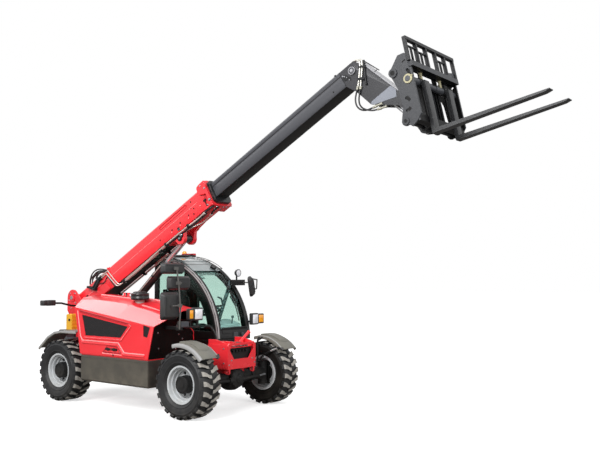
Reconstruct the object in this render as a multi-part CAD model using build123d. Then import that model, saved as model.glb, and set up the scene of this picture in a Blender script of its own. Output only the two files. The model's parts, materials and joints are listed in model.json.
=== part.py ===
from build123d import *
import math
import os

# Compact telehandler: rigid frame, four steered wheels, cab on the left, engine pod on the
# right, and a two-section boom between them with a fork carriage on its nose.
# All sizes are millimetres. The model is built in the chassis frame (x forward from midway
# between the axles, y to the left, z up from the ground) and moved at the end so that its
# origin is the bottom centre of the whole machine.

# ---- driving dimensions ---------------------------------------------------------------------
RUN = 0.3                     # gap of a running fit, face to face or radius to radius
WALL_GAP = 6                  # gap between fixed panels that stand beside each other

WHEELBASE = 2360
FRONT_X = WHEELBASE / 2
REAR_X = -WHEELBASE / 2
TRACK = 1500
TYRE_R = 413
TYRE_HALF = 155               # half the tyre's width
RIM_R = 228                   # rim flange radius
RIM_HALF = 124                # half the width over the rim flanges
KINGPIN_Y = 630
AXLE_TUBE_R = 75
SPINDLE_R = 55

FRAME_HALF = 200              # half the width over the two main side plates
FRAME_PLATE = 30
FRAME_LOW_Z = 480
FRAME_TOP_Z = 800
SHELF_Z = 672                 # top of the shelf that the engine pod stands on
BODY_HALF = 900               # half the width over the engine pod

PIVOT_X = REAR_X - 590               # boom pivot on the tower
PIVOT_Z = 1370
BOOM_ANGLE = 29.5             # boom angle over the ground at rest
PIVOT_R = 40
TOWER_R = 119                 # radius of the tower plates' round tops
TOWER_IN = FRAME_HALF + RUN
TOWER_OUT = TOWER_IN + 24
OUTER_LENGTH = 3050           # pivot to the mouth of the outer boom
OUTER_HALF = 150
OUTER_TOP = 37                # boom heights are measured square to the boom from the pivot
OUTER_LOW = -256
OUTER_WALL = 10
INNER_HALF = 100
INNER_TOP = 3
INNER_LOW = -198
INNER_WALL = 10
INNER_BACK = 2300             # rear end of the inner boom, fully out
INNER_FRONT = 5400            # where the nose is welded on
PAD_DEPTH = 45                # length of the wear pads along the boom
PAD_HALF = 152                # half width over the wear pads
COLLAR_HALF = 188
STROKE = 2000                 # travel of the inner boom

LIFT_PIN_S = 2270             # lift cylinder's pin under the outer boom
LIFT_PIN_N = -337
LIFT_BASE_X = PIVOT_X + 486
LIFT_BASE_Z = 793
LIFT_BARREL_R = 55
LIFT_ROD_R = 35
LIFT_EYE_R = 55

HINGE_S = 5995                # carriage hinge at the boom's nose
HINGE_N = -898
TILT_BASE_S = 5554            # tilt cylinder's base pin in the nose
TILT_BASE_N = -88
TILT_BARREL_R = 42
TILT_ROD_R = 24
NOSE_HALF = 100
NOSE_PLATE = 18
HEAD_HALF = 148

CARRIAGE_TILT = 12.85         # fork angle over the ground at rest
HINGE_BACK = 296              # the carriage hinge behind and above the forks' heel
HINGE_UP = 449
FORK_LENGTH = 1200
FORK_WIDTH = 100
FORK_THICK = 45
FORK_Y = 270
CARRIAGE_HALF = 520
BACKREST_HALF = 550
BACKREST_TOP = 1015
SHAFT_U = -88                 # shaft that the forks hang on
SHAFT_V = 576
SHAFT_R = 30
HOOK_U = -241                 # upper cross shaft of the coupler
HOOK_V = 692
LUG_U = -211                  # lower coupler pins
LUG_V = 158

CAB_IN_Y = FRAME_HALF + 15    # cab wall beside the boom
CAB_OUT_Y = 860               # cab wall on the door side
CAB_BACK_X = -480
CAB_ARC_X = -379              # centre of the curve of the windscreen and roof
CAB_ARC_Z = 800
CAB_ARC_R = 1146
CAB_FRONT_X = CAB_ARC_X + CAB_ARC_R
CAB_SILL_Z = 830              # foot of the cab frame
CAB_POST = 48                 # depth of the cab's pillars
GLASS = 6
FLOOR_Z = 620

NOSE_X = FRONT_X + 195                 # front face of the frame's nose plate
TAIL_X = REAR_X - 745                # rear face of the counterweight

# ---- helpers --------------------------------------------------------------------------------


def plate(outline, y0, y1, holes=()):
    """Side-view outline of (x, z) points made a plate from y0 to y1, with (x, z, r) holes."""
    side = Plane(origin=(0, y1, 0), x_dir=(1, 0, 0), z_dir=(0, -1, 0))
    face = make_face(Polyline(*outline, close=True))
    for x, z, r in holes:
        face -= Pos(x, z) * Circle(r)
    return extrude(side * face, amount=y1 - y0)


def box(x0, x1, y0, y1, z0, z1):
    return Pos((x0 + x1) / 2, (y0 + y1) / 2, (z0 + z1) / 2) * Box(x1 - x0, y1 - y0, z1 - z0)


def cross_bar(x, z, r, y0, y1):
    """Round bar along y."""
    return Pos(x, (y0 + y1) / 2, z) * Rot(90, 0, 0) * Cylinder(r, y1 - y0)


def post(x, y, r, z0, z1):
    return Pos(x, y, (z0 + z1) / 2) * Cylinder(r, z1 - z0)


def bar(start, end, r):
    """Round bar between two points."""
    a, b = Vector(*start), Vector(*end)
    length = (b - a).length
    return Plane(origin=a, z_dir=b - a) * Cylinder(r, length, align=(Align.CENTER, Align.CENTER, Align.MIN))


def both_sides(shape):
    return shape + shape.mirror(Plane.XZ)


def arc_points(cx, cz, r, start, end, steps):
    """Points of an arc in the side view, in degrees from +x towards +z."""
    angles = [math.radians(start + (end - start) * i / steps) for i in range(steps + 1)]
    return [(cx + r * math.cos(a), cz + r * math.sin(a)) for a in angles]


def turned(x, z, angle):
    """A side-view offset turned nose-up by an angle in degrees."""
    c, s = math.cos(math.radians(angle)), math.sin(math.radians(angle))
    return x * c - z * s, x * s + z * c


# Places in the boom's own frame (s along it, n square to it) and in the fork frame's
# (u along the forks from their heel, v up the backrest) put into the chassis frame.
BOOM = Pos(PIVOT_X, 0, PIVOT_Z) * Rot(0, -BOOM_ANGLE, 0)
HINGE_DX, HINGE_DZ = turned(HINGE_S, HINGE_N, BOOM_ANGLE)
HINGE_X, HINGE_Z = PIVOT_X + HINGE_DX, PIVOT_Z + HINGE_DZ
HEEL_DX, HEEL_DZ = turned(HINGE_BACK, -HINGE_UP, CARRIAGE_TILT)
HEEL_X, HEEL_Z = HINGE_X + HEEL_DX, HINGE_Z + HEEL_DZ
FORKS = Pos(HEEL_X, 0, HEEL_Z) * Rot(0, -CARRIAGE_TILT, 0)
TIP_X = HEEL_X + turned(FORK_LENGTH, 0, CARRIAGE_TILT)[0]
ORIGIN_X = (TAIL_X + TIP_X) / 2

nodes = {}

# ---- wheels, knuckles and axles -------------------------------------------------------------
# A left wheel about its own centre: y grows outwards, and the wheel turns about y.
HUB_DISC = -30                # disc plane of the deep-dish rim
HUB_FACE = 52                 # outer face of the hub drum
HUB_R = 108
SEAT_R = 205                  # bead seat


def ring(profile):
    """Closed (offset, radius) profile spun about the wheel's axis."""
    face = make_face(Polyline(*[(r, y) for y, r in profile], close=True))
    return Rot(-90, 0, 0) * revolve(Plane.XZ * face, Axis.Z)


def wheel_rim():
    barrel = ring([(-RIM_HALF, SEAT_R - 8), (-RIM_HALF, RIM_R), (-RIM_HALF + 7, RIM_R),
                   (-RIM_HALF + 7, SEAT_R), (RIM_HALF - 7, SEAT_R), (RIM_HALF - 7, RIM_R),
                   (RIM_HALF, RIM_R), (RIM_HALF, SEAT_R - 8)])
    disc = ring([(HUB_DISC, SPINDLE_R + RUN), (HUB_DISC, SEAT_R - 8), (HUB_DISC + 12, SEAT_R - 8),
                 (HUB_DISC + 12, HUB_R), (HUB_FACE, HUB_R), (HUB_FACE + 8, HUB_R - 8),
                 (HUB_FACE + 8, 0), (HUB_FACE - 6, 0), (HUB_FACE - 6, SPINDLE_R + RUN)])
    return barrel + disc


def wheel_tyre():
    bead = RIM_HALF - 7.3
    return ring([(-bead, SEAT_R + RUN), (-bead, RIM_R + 4), (-TYRE_HALF + 12, RIM_R + 38),
                 (-TYRE_HALF, 322), (-TYRE_HALF + 6, 375), (-TYRE_HALF + 24, TYRE_R),
                 (TYRE_HALF - 24, TYRE_R), (TYRE_HALF - 6, 375), (TYRE_HALF, 322),
                 (TYRE_HALF - 12, RIM_R + 38), (bead, RIM_R + 4), (bead, SEAT_R + RUN),
                 (bead - 24, SEAT_R + RUN), (bead - 24, RIM_R + 12), (TYRE_HALF - 38, 300),
                 (TYRE_HALF - 36, 352), (TYRE_HALF - 52, 380), (52 - TYRE_HALF, 380),
                 (36 - TYRE_HALF, 352), (38 - TYRE_HALF, 300), (24 - bead, RIM_R + 12),
                 (24 - bead, SEAT_R + RUN)])


BOSS_HALF = 110               # half the height of the boss that each kingpin stands in
EAR = 34
ARM_Y = KINGPIN_Y - 64        # fender arm, inboard of the tyre


def knuckle(x):
    """Steering knuckle of the left side: two ears, a web and the wheel spindle."""
    z = TYRE_R
    ears = [Pos(x, KINGPIN_Y, z + side * (BOSS_HALF + RUN + EAR / 2)) * Cylinder(60, EAR) for side in (-1, 1)]
    web = box(x - 60, x + 60, KINGPIN_Y + 60, KINGPIN_Y + 82, z - BOSS_HALF - RUN - EAR, z + BOSS_HALF + RUN + EAR)
    bridges = [box(x - 50, x + 50, KINGPIN_Y, KINGPIN_Y + 62, z + low, z + low + EAR)
               for low in (-BOSS_HALF - RUN - EAR, BOSS_HALF + RUN)]
    spindle = cross_bar(x, z, SPINDLE_R, KINGPIN_Y + 80, TRACK / 2 + HUB_FACE - 6 - RUN)
    return ears[0] + ears[1] + web + bridges[0] + bridges[1] + spindle


FENDER_R = 480
FENDER_THICK = 10
FENDER_IN, FENDER_OUT = 590, 905
FRONT_FENDER = (38, 105)      # start and end angle about the wheel


def front_fender():
    """Curved fender on an arm from the left front knuckle; it steers with the wheel."""
    start, end = FRONT_FENDER
    outer = arc_points(FRONT_X, TYRE_R, FENDER_R + FENDER_THICK, start, end, 6)
    inner = arc_points(FRONT_X, TYRE_R, FENDER_R, end, start, 6)
    shell = plate(outer + inner, FENDER_IN, FENDER_OUT)
    lip_in = arc_points(FRONT_X, TYRE_R, FENDER_R - 28, end, start, 6)
    lip = plate(outer + lip_in, FENDER_OUT - 8, FENDER_OUT)
    arm = box(FRONT_X - 35, FRONT_X + 35, ARM_Y - 7, ARM_Y + 7, TYRE_R + BOSS_HALF + RUN + EAR, TYRE_R + FENDER_R - 4)
    foot = box(FRONT_X - 35, FRONT_X + 35, ARM_Y - 7, KINGPIN_Y - 20,
               TYRE_R + BOSS_HALF + 2 * RUN + EAR, TYRE_R + BOSS_HALF + EAR + 14)
    head = box(FRONT_X - 35, FRONT_X + 35, ARM_Y - 7, FENDER_IN + 60,
               TYRE_R + FENDER_R - 14, TYRE_R + FENDER_R + 1)
    return shell + lip + arm + foot + head


def rear_fender():
    """Flat-topped fender fixed to the frame, high enough for the wheel to steer under."""
    top = [(REAR_X + dx, 2 * TYRE_R + dz) for dx, dz in ((405, 129), (80, 129), (-70, 106), (-220, 36), (-420, -124))]
    low = [(x + dx, z - 11) for (x, z), dx in zip(reversed(top), (7, 4, 1, 0, 0))]
    shell = plate(top + low, FENDER_IN, FENDER_OUT)
    lip_low = [(x + dx, z - 32) for (x, z), dx in zip(reversed(top), (20, 14, 6, 0, 0))]
    lip = plate(top + lip_low, FENDER_OUT - 8, FENDER_OUT)
    for dx, dz in ((-25, 92), (90, 105)):
        shell += cross_bar(REAR_X + dx, 2 * TYRE_R + dz, 17, TOWER_OUT + RUN, FENDER_OUT - 60)
    return shell + lip


CASE_R = 165                  # final-drive case in the middle of each axle
CASE_HALF = 110


def axle(x):
    z = TYRE_R
    tube = cross_bar(x, z, AXLE_TUBE_R, -KINGPIN_Y, KINGPIN_Y)
    case = Pos(x, 0, z) * Sphere(CASE_R)
    case = case & box(x - CASE_R, x + CASE_R, -CASE_HALF, CASE_HALF, z - 150, z + 135)
    bosses = both_sides(post(x, KINGPIN_Y, 58, z - BOSS_HALF, z + BOSS_HALF))
    return tube + case + bosses


nodes["front_axle"] = axle(FRONT_X)
nodes["rear_axle"] = axle(REAR_X)
rim, tyre = wheel_rim(), wheel_tyre()
for end, x in (("front", FRONT_X), ("rear", REAR_X)):
    place = Pos(x, TRACK / 2, TYRE_R)
    left = {"rim": place * rim, "tyre": place * tyre, "knuckle": knuckle(x)}
    left["fender"] = front_fender() if end == "front" else rear_fender()
    for name, shape in left.items():
        nodes[f"{name}_{end}_left"] = shape
        nodes[f"{name}_{end}_right"] = shape.mirror(Plane.XZ)

# ---- frame ----------------------------------------------------------------------------------
PLATE_IN = FRAME_HALF - FRAME_PLATE
FRAME_FRONT_X = FRONT_X + 110
FRAME_BACK_X = REAR_X - 380
SADDLE_LOW = TYRE_R + AXLE_TUBE_R - 4
frame_side = [(FRAME_FRONT_X, FRAME_LOW_Z + 40), (FRAME_FRONT_X, 790), (FRONT_X - 180, 790), (FRONT_X - 380, FRAME_TOP_Z - 60),
              (CAB_BACK_X - 160, FRAME_TOP_Z - 60), (CAB_BACK_X - 420, FRAME_TOP_Z), (FRAME_BACK_X, FRAME_TOP_Z),
              (FRAME_BACK_X, FRAME_LOW_Z + 20), (REAR_X + 280, FRAME_LOW_Z)]
chassis = both_sides(plate(frame_side, PLATE_IN, FRAME_HALF))
chassis += box(FRAME_BACK_X + 60, FRAME_FRONT_X, -PLATE_IN - 1, PLATE_IN + 1, FRAME_LOW_Z + 40, FRAME_LOW_Z + 60)
for x in (-760, 700):
    chassis += box(x, x + 20, -PLATE_IN, PLATE_IN, FRAME_LOW_Z + 60, 700)
for x in (FRONT_X, REAR_X):
    chassis += both_sides(box(x - 70, x + 70, CASE_HALF + 8, PLATE_IN + 15, SADDLE_LOW, FRAME_LOW_Z + 50))
    chassis -= cross_bar(x, TYRE_R, AXLE_TUBE_R + RUN, -300, 300)
    chassis -= box(x - CASE_R - 8, x + CASE_R + 8, -CASE_HALF - 6, CASE_HALF + 6, 400, TYRE_R + CASE_R)
POD_BACK_X, POD_FRONT_X = -665, 628
chassis += box(POD_BACK_X, POD_FRONT_X, -BODY_HALF + 14, -PLATE_IN, SHELF_Z - 12, SHELF_Z)
for x in (-600, 560):
    chassis += box(x, x + 40, -BODY_HALF + 60, -PLATE_IN, 560, SHELF_Z - 12)
CAB_BEAM_TOP = FLOOR_Z - 60 - RUN
for x in (-420, 380):
    chassis += box(x, x + 60, PLATE_IN, CAB_OUT_Y - 120, FRAME_LOW_Z + 10, CAB_BEAM_TOP)
chassis += cross_bar(LIFT_BASE_X, LIFT_BASE_Z - 195, 30, -PLATE_IN, PLATE_IN)
nodes["chassis_frame"] = chassis

tower_outline = ([(FRAME_BACK_X, FRAME_LOW_Z + 20), (REAR_X + 180, FRAME_LOW_Z + 20), (REAR_X + 180, 905), (REAR_X - 150, 1120)]
                 + arc_points(PIVOT_X, PIVOT_Z, TOWER_R, 55, 180, 8)
                 + [(PIVOT_X - TOWER_R, 1180), (FRAME_BACK_X - 112, 900), (FRAME_BACK_X - 112, 760)])
tower = both_sides(plate(tower_outline, TOWER_IN, TOWER_OUT))
tower += cross_bar(PIVOT_X, PIVOT_Z, PIVOT_R, -TOWER_OUT - 14, TOWER_OUT + 14)
tower += both_sides(cross_bar(PIVOT_X, PIVOT_Z, 66, OUTER_HALF + 28, TOWER_IN + 4))
tower += box(FRAME_BACK_X - 95, FRAME_BACK_X - 80, -TOWER_IN, TOWER_IN, 800, 1010)
nodes["boom_tower"] = tower

weight_outline = [(TAIL_X, 520), (TAIL_X, 860), (TAIL_X + 45, 905), (FRAME_BACK_X - 140, 905), (FRAME_BACK_X - 140, 800),
                  (FRAME_BACK_X - RUN, 800), (FRAME_BACK_X - RUN, 440), (TAIL_X + 60, 440)]
HITCH_R = 18.2
HITCH_X = TAIL_X + 85
weight = plate(weight_outline, -360, 360)
weight -= both_sides(plate([(FRAME_BACK_X - 160, 400), (FRAME_BACK_X - 160, 1000), (FRAME_BACK_X + 60, 1000),
                           (FRAME_BACK_X + 60, 400)], TOWER_IN - 3, TOWER_OUT + 3))
weight -= box(TAIL_X - 10, HITCH_X + 45, -70, 70, 600, 680)
weight -= post(HITCH_X, 0, HITCH_R, 400, 800)
nodes["counterweight"] = weight

NOSE_OUT = FRAME_HALF + 62
nose = box(NOSE_X - 25, NOSE_X, -NOSE_OUT, NOSE_OUT, 545, 862)
nose = chamfer(nose.edges().filter_by(Axis.X).group_by(Axis.Z)[-1], 30)
window = Plane(origin=(NOSE_X + 5, 0, 0), x_dir=(0, 1, 0), z_dir=(1, 0, 0)) * make_face(
    Polyline((-145, 664), (145, 664), (NOSE_OUT - 38, 775), (NOSE_OUT - 56, 832), (56 - NOSE_OUT, 832), (38 - NOSE_OUT, 775), close=True))
nose -= extrude(window, amount=-60)
TOW_R = 20
TOW_Y = NOSE_OUT - 34
for side in (-1, 1):
    lug = plate([(NOSE_X - 60, 560), (NOSE_X, 560), (NOSE_X, 500), (NOSE_X - 12, 482), (NOSE_X - 48, 482),
                 (NOSE_X - 60, 500)], side * TOW_Y - 13, side * TOW_Y + 13, [(NOSE_X - 30, 512, TOW_R)])
    nose += lug
nose_side = [(NOSE_X - 20, 545), (NOSE_X - 20, 850), (NOSE_X - 340, 845), (NOSE_X - 340, 560), (NOSE_X - 225, 545)]
nose += both_sides(plate(nose_side, NOSE_OUT - 25, NOSE_OUT))
nose += both_sides(box(NOSE_X - 340, NOSE_X - 275, FRAME_HALF + RUN, NOSE_OUT - 20, 560, 840))
nose += box(NOSE_X - 265, NOSE_X - 20, -NOSE_OUT + 20, NOSE_OUT - 20, 800, 812)
nodes["frame_nose"] = nose

# ---- engine pod -----------------------------------------------------------------------------
TANK_LOW_Z = 323
tank = box(POD_BACK_X, POD_FRONT_X, -BODY_HALF + 4, -420, TANK_LOW_Z, SHELF_Z - 12 - RUN)
tank -= box(-600 - RUN, -560 + RUN, -BODY_HALF + 60 - RUN, -400, 560 - RUN, SHELF_Z)
tank -= box(560 - RUN, 600 + RUN, -BODY_HALF + 60 - RUN, -400, 560 - RUN, SHELF_Z)
tank = chamfer(tank.edges().filter_by(Axis.X).group_by(Axis.Z)[0], 18)
nodes["side_tank"] = tank
nodes["engine_block"] = box(-560, 260, -780, -330, SHELF_Z + RUN, 1130)

# Hood sections: x, then the outline of (y, z) from the side's foot over the bevel to the boom.
HOOD_IN_Y = -FRAME_HALF - 22
HOOD_WALL = 12


def hood_section(x, foot, belt, shoulder, crown, inner, inset=0.0):
    side, bevel, ridge, edge = -BODY_HALF + inset, -700, -450, HOOD_IN_Y
    points = [(side, foot - 40 * (inset > 0)), (side, belt - inset * 0.6), (bevel + inset * 0.4, shoulder - inset),
              (ridge, crown - inset), (edge + 40 * (inset > 0), inner - inset),
              (edge + 40 * (inset > 0), foot - 40 * (inset > 0))]
    plane = Plane(origin=(x, 0, 0), x_dir=(0, 1, 0), z_dir=(1, 0, 0))
    return plane * make_face(Polyline(*points, close=True))


HOOD_ROWS = (                 # x, foot, belt line, shoulder, crown, inner edge
    (-960, SHELF_Z + 2, 1300, 1405, 1436, 1440),
    (60, SHELF_Z + 2, 1168, 1334, 1381, 1386),
    (790, SHELF_Z + 2, 1070, 1190, 1268, 1275),
)
hood = Part()
hollow = Part()
for rear, front in zip(HOOD_ROWS, HOOD_ROWS[1:]):
    hood += loft([hood_section(*rear), hood_section(*front)], ruled=True)
    hollow += loft([hood_section(*rear, inset=HOOD_WALL), hood_section(*front, inset=HOOD_WALL)], ruled=True)
pod_space = loft([hood_section(*HOOD_ROWS[1], inset=HOOD_WALL + WALL_GAP),
                  hood_section(*HOOD_ROWS[2], inset=HOOD_WALL + WALL_GAP)], ruled=True)
# The rear edge leans back, and the front edge leans forward up to an overhanging brow.
cheek = [(-681, 600), (-681, 690), (-810, 1290), (-960, 1500), (-2000, 1500), (-2000, 600)]
inner_cheek = [(x + HOOD_WALL + 1, z) for x, z in cheek]
brow = [(636, 600), (636, 690), (736, 1086), (790, 1150), (790, 1500), (2000, 1500), (2000, 600)]
hood -= plate(cheek, -1000, 0)
hood -= plate(brow, -1000, 0)
hollow -= plate(inner_cheek, -1000, 0)
hood -= hollow
mesh_window = [(-650, 1185), (262, 1062), (128, 918), (-572, 915)]
vent_window = [(548, 1092), (672, 1068), (622, 940), (548, 955)]
for outline in (mesh_window, vent_window):
    hood -= plate(outline, -BODY_HALF - 10, -BODY_HALF + 6)
hood -= box(20, 120, -BODY_HALF - 10, -BODY_HALF + 6, 735, 800)
HOOD_PIN_Y, HOOD_PIN_Z = HOOD_IN_Y + 9, 1452
HOOD_KNUCKLE_R, HOOD_PIN_R = 9, 5
HOOD_HINGES = (-560, -260)    # middle of each hinge
(rear_x, *_, rear_edge), (mid_x, *_, mid_edge) = HOOD_ROWS[:2]


def along(r, x0, x1):
    """Round bar on the hood's hinge line."""
    return Pos((x0 + x1) / 2, HOOD_PIN_Y, HOOD_PIN_Z) * Rot(0, 90, 0) * Cylinder(r, x1 - x0)


for x in HOOD_HINGES:
    for x0, x1 in ((x - 60, x - 20 - RUN), (x + 20 + RUN, x + 60)):
        edge = rear_edge + (mid_edge - rear_edge) * (x1 - rear_x) / (mid_x - rear_x)
        ear = box(x0, x1, HOOD_IN_Y - 10, HOOD_IN_Y - RUN, edge - 8, HOOD_PIN_Z + 9) + along(HOOD_KNUCKLE_R, x0, x1)
        hood += ear + box(x0, x1, HOOD_IN_Y - 10, HOOD_PIN_Y, HOOD_PIN_Z - 6, HOOD_PIN_Z + 9)
    hood -= along(HOOD_PIN_R + RUN, x - 80, x + 80)
nodes["engine_hood"] = hood

bulk_side = [(616, SHELF_Z + RUN), (624, SHELF_Z + RUN), (722, 1080), (770, 1152), (762, 1152), (712, 1080)]
bulkhead = plate(bulk_side, -BODY_HALF + HOOD_WALL + WALL_GAP, -FRAME_HALF - 26) & pod_space
bulkhead += plate([(-640, SHELF_Z + RUN), (620, SHELF_Z + RUN), (716, 1076), (716, 1230), (-640, 1330)],
                  -FRAME_HALF - 32, -FRAME_HALF - 25)
bulkhead += box(-640, -632, -BODY_HALF + HOOD_WALL + WALL_GAP, -FRAME_HALF - 28, SHELF_Z + RUN, 1200)
for x in HOOD_HINGES:
    bulkhead += box(x - 20, x + 20, HOOD_IN_Y + 3, HOOD_PIN_Y + 5, 1270, HOOD_PIN_Z)
    bulkhead += box(x - 20, x + 20, -FRAME_HALF - 27, HOOD_PIN_Y + 5, 1270, 1290)
    bulkhead += along(HOOD_KNUCKLE_R, x - 20, x + 20) + along(HOOD_PIN_R, x - 60, x + 60)
nodes["engine_bulkhead"] = bulkhead

cleaner = post(85, -550, 52, 1300, 1402) + post(85, -550, 118, 1400, 1490) + post(85, -550, 92, 1488, 1512)
cleaner -= hood + hollow
nodes["air_precleaner"] = cleaner.solids().sort_by(Axis.Z)[-1]
STACK_X, STACK_Y = CAB_BACK_X - 320, FRAME_HALF + 85
nodes["exhaust_stack"] = post(STACK_X, STACK_Y, 52, FRAME_TOP_Z - 30, 1480) + post(STACK_X, STACK_Y, 68, 1000, 1400)
nodes["exhaust_stack"] += box(STACK_X - 50, STACK_X + 50, FRAME_HALF + RUN, STACK_Y + 5, FRAME_TOP_Z - 40, FRAME_TOP_Z - 10)
nodes["wheel_chock"] = plate([(FRAME_BACK_X + dx, z) for dx, z in ((-180, 908), (-54, 908), (-54, 1135), (-165, 1135), (-180, 1120))],
                             -TOWER_OUT - 125, -TOWER_OUT - RUN)

# ---- cab ------------------------------------------------------------------------------------


def cab_outline(inset, foot):
    """Side view of the cab: curved front and roof, upright back, drawn inwards by inset."""
    r = CAB_ARC_R - inset
    low = math.degrees(math.asin((foot - CAB_ARC_Z) / r))
    return (arc_points(CAB_ARC_X, CAB_ARC_Z, r, low, 90, 10)
            + [(CAB_BACK_X + inset, CAB_ARC_Z + r), (CAB_BACK_X + inset, foot)])


def cab_wedge(start, end, y0, y1):
    """Sector of the curved front and roof, used to cut windows and to shape glass."""
    rim_arc = arc_points(CAB_ARC_X, CAB_ARC_Z, CAB_ARC_R + 40, start, end, 6)
    return plate([(CAB_ARC_X, CAB_ARC_Z)] + rim_arc, y0, y1)


ROOF_TOP = CAB_ARC_Z + CAB_ARC_R
SIDE_IN = CAB_IN_Y + 40
SIDE_OUT = CAB_OUT_Y - 40
SCREEN = (9, 66)              # start and end angle of the windscreen
SKYLIGHT = (70, 87)
frame = plate(cab_outline(0, CAB_SILL_Z), CAB_IN_Y, CAB_OUT_Y)
frame -= plate(cab_outline(CAB_POST, CAB_SILL_Z - 30), SIDE_IN, SIDE_OUT)
frame -= cab_wedge(*SCREEN, SIDE_IN + 12, SIDE_OUT - 12) & plate(cab_outline(-60, 820), 0, 1000)
frame -= cab_wedge(*SKYLIGHT, SIDE_IN + 12, SIDE_OUT - 12)
right_window = (arc_points(CAB_ARC_X, CAB_ARC_Z, CAB_ARC_R - 62, 8, 84, 8)
                + [(CAB_BACK_X + 70, CAB_ARC_Z + CAB_ARC_R - 75), (CAB_BACK_X + 70, 960)])
frame -= plate(right_window, CAB_IN_Y - 10, SIDE_IN + 5)
DOOR_BACK_X = -300
door_cut = (arc_points(CAB_ARC_X, CAB_ARC_Z, CAB_ARC_R - 52, 1, 80, 8)
            + [(DOOR_BACK_X, CAB_ARC_Z + CAB_ARC_R - 68), (DOOR_BACK_X, CAB_SILL_Z - 40)])
frame -= plate(door_cut, SIDE_OUT - 5, CAB_OUT_Y + 10)
frame -= box(CAB_BACK_X - 5, CAB_BACK_X + CAB_POST + 5, SIDE_IN + 20, SIDE_OUT - 20, 1080, ROOF_TOP - 86)
DOOR_PIN_X, DOOR_PIN_Y = DOOR_BACK_X - 6, CAB_OUT_Y + 16
DOOR_PIN_R, DOOR_KNUCKLE_R = 7, 13
DOOR_HINGES = (1010, ROOF_TOP - 306)    # foot of each hinge
for z in DOOR_HINGES:
    frame += box(DOOR_PIN_X - 64, DOOR_PIN_X, CAB_OUT_Y - 1, DOOR_PIN_Y - 4, z, z + 30)
    frame += post(DOOR_PIN_X, DOOR_PIN_Y, DOOR_KNUCKLE_R, z, z + 30) + post(DOOR_PIN_X, DOOR_PIN_Y, DOOR_PIN_R, z, z + 62)
nodes["cab_frame"] = frame

roof_outline = [(CAB_BACK_X + 5, ROOF_TOP + RUN), (-330, ROOF_TOP + RUN), (-330, ROOF_TOP + 22), (CAB_BACK_X + 5, ROOF_TOP + 22)]
nodes["cab_roof"] = plate(roof_outline, CAB_IN_Y + 15, CAB_OUT_Y - 15)


def bent_glass(angles, y0, y1):
    """Glass between two radii, seated in the front frame's rebate."""
    outer = arc_points(CAB_ARC_X, CAB_ARC_Z, CAB_ARC_R - 8, *angles, 8)
    inner = arc_points(CAB_ARC_X, CAB_ARC_Z, CAB_ARC_R - 8 - GLASS, *reversed(angles), 8)
    return plate(outer + inner, y0, y1)


nodes["windscreen"] = bent_glass((SCREEN[0] + 0.05, SCREEN[1] - 0.05), SIDE_IN + 12 + RUN, SIDE_OUT - 12 - RUN)
side_pane = plate(right_window, CAB_IN_Y + 12, CAB_IN_Y + 12 + GLASS) & plate(
    [(x, z) for x, z in cab_outline(63, 880)], 0, 1000)
rear_pane = box(CAB_BACK_X + 14, CAB_BACK_X + 14 + GLASS, SIDE_IN + 20 + RUN, SIDE_OUT - 20 - RUN, 1080 + RUN, ROOF_TOP - 86 - RUN)
sky_pane = bent_glass((SKYLIGHT[0] + 0.05, SKYLIGHT[1] - 0.05), SIDE_IN + 12 + RUN, SIDE_OUT - 12 - RUN)
nodes["cab_windows"] = side_pane + rear_pane + sky_pane

tub_side = [(CAB_BACK_X, FLOOR_Z - 60), (CAB_FRONT_X - 147, FLOOR_Z - 60), (CAB_FRONT_X - 77, CAB_SILL_Z - RUN),
            (CAB_BACK_X, CAB_SILL_Z - RUN)]
tub = plate(tub_side, CAB_IN_Y, CAB_OUT_Y)
tub -= plate([(CAB_BACK_X + 30, FLOOR_Z), (CAB_FRONT_X - 157, FLOOR_Z), (CAB_FRONT_X - 105, CAB_SILL_Z + 10),
              (CAB_BACK_X + 30, CAB_SILL_Z + 10)],
             CAB_IN_Y + 30, CAB_OUT_Y - 30)
tub -= box(DOOR_BACK_X, CAB_FRONT_X - 207, CAB_OUT_Y - 40, CAB_OUT_Y + 10, FLOOR_Z - 20, CAB_SILL_Z + 10)
tub += box(CAB_FRONT_X - 147, CAB_FRONT_X - 67, CAB_IN_Y, CAB_OUT_Y, CAB_SILL_Z - 40, CAB_SILL_Z - RUN)
tub += box(-220, 340, CAB_OUT_Y - 160, CAB_OUT_Y - 20, 400, 416)
for x in (-220, 324):
    tub += box(x, x + 16, CAB_OUT_Y - 160, CAB_OUT_Y - 20, 416, FLOOR_Z - 60)
nodes["cab_floor"] = tub

DOOR_IN, DOOR_OUT = CAB_OUT_Y - 34, CAB_OUT_Y - 2
door_outline = (arc_points(CAB_ARC_X, CAB_ARC_Z, CAB_ARC_R - 58, 2, 79.5, 10)
                + [(DOOR_BACK_X + 6, CAB_ARC_Z + CAB_ARC_R - 74), (DOOR_BACK_X + 6, FLOOR_Z - 14),
                   (CAB_FRONT_X - 213, FLOOR_Z - 14), (CAB_FRONT_X - 213, CAB_SILL_Z + 8)])
door = plate(door_outline, DOOR_IN, DOOR_OUT)
door_light = (arc_points(CAB_ARC_X, CAB_ARC_Z, CAB_ARC_R - 118, 9, 76, 8)
              + [(DOOR_BACK_X + 70, CAB_ARC_Z + CAB_ARC_R - 134), (DOOR_BACK_X + 70, 975)])
door -= plate(door_light, DOOR_IN - 5, DOOR_OUT + 5)
for z in DOOR_HINGES:
    door += box(DOOR_BACK_X + 1, DOOR_PIN_X + 70, DOOR_OUT - 1, DOOR_PIN_Y - 4, z + 30 + RUN, z + 60)
    door += post(DOOR_PIN_X, DOOR_PIN_Y, DOOR_KNUCKLE_R, z + 30 + RUN, z + 60)
    door -= post(DOOR_PIN_X, DOOR_PIN_Y, DOOR_PIN_R + RUN, z + 20, z + 70)
nodes["cab_door"] = door
nodes["door_glass"] = plate(door_light, DOOR_IN + 12, DOOR_IN + 12 + GLASS)

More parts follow.
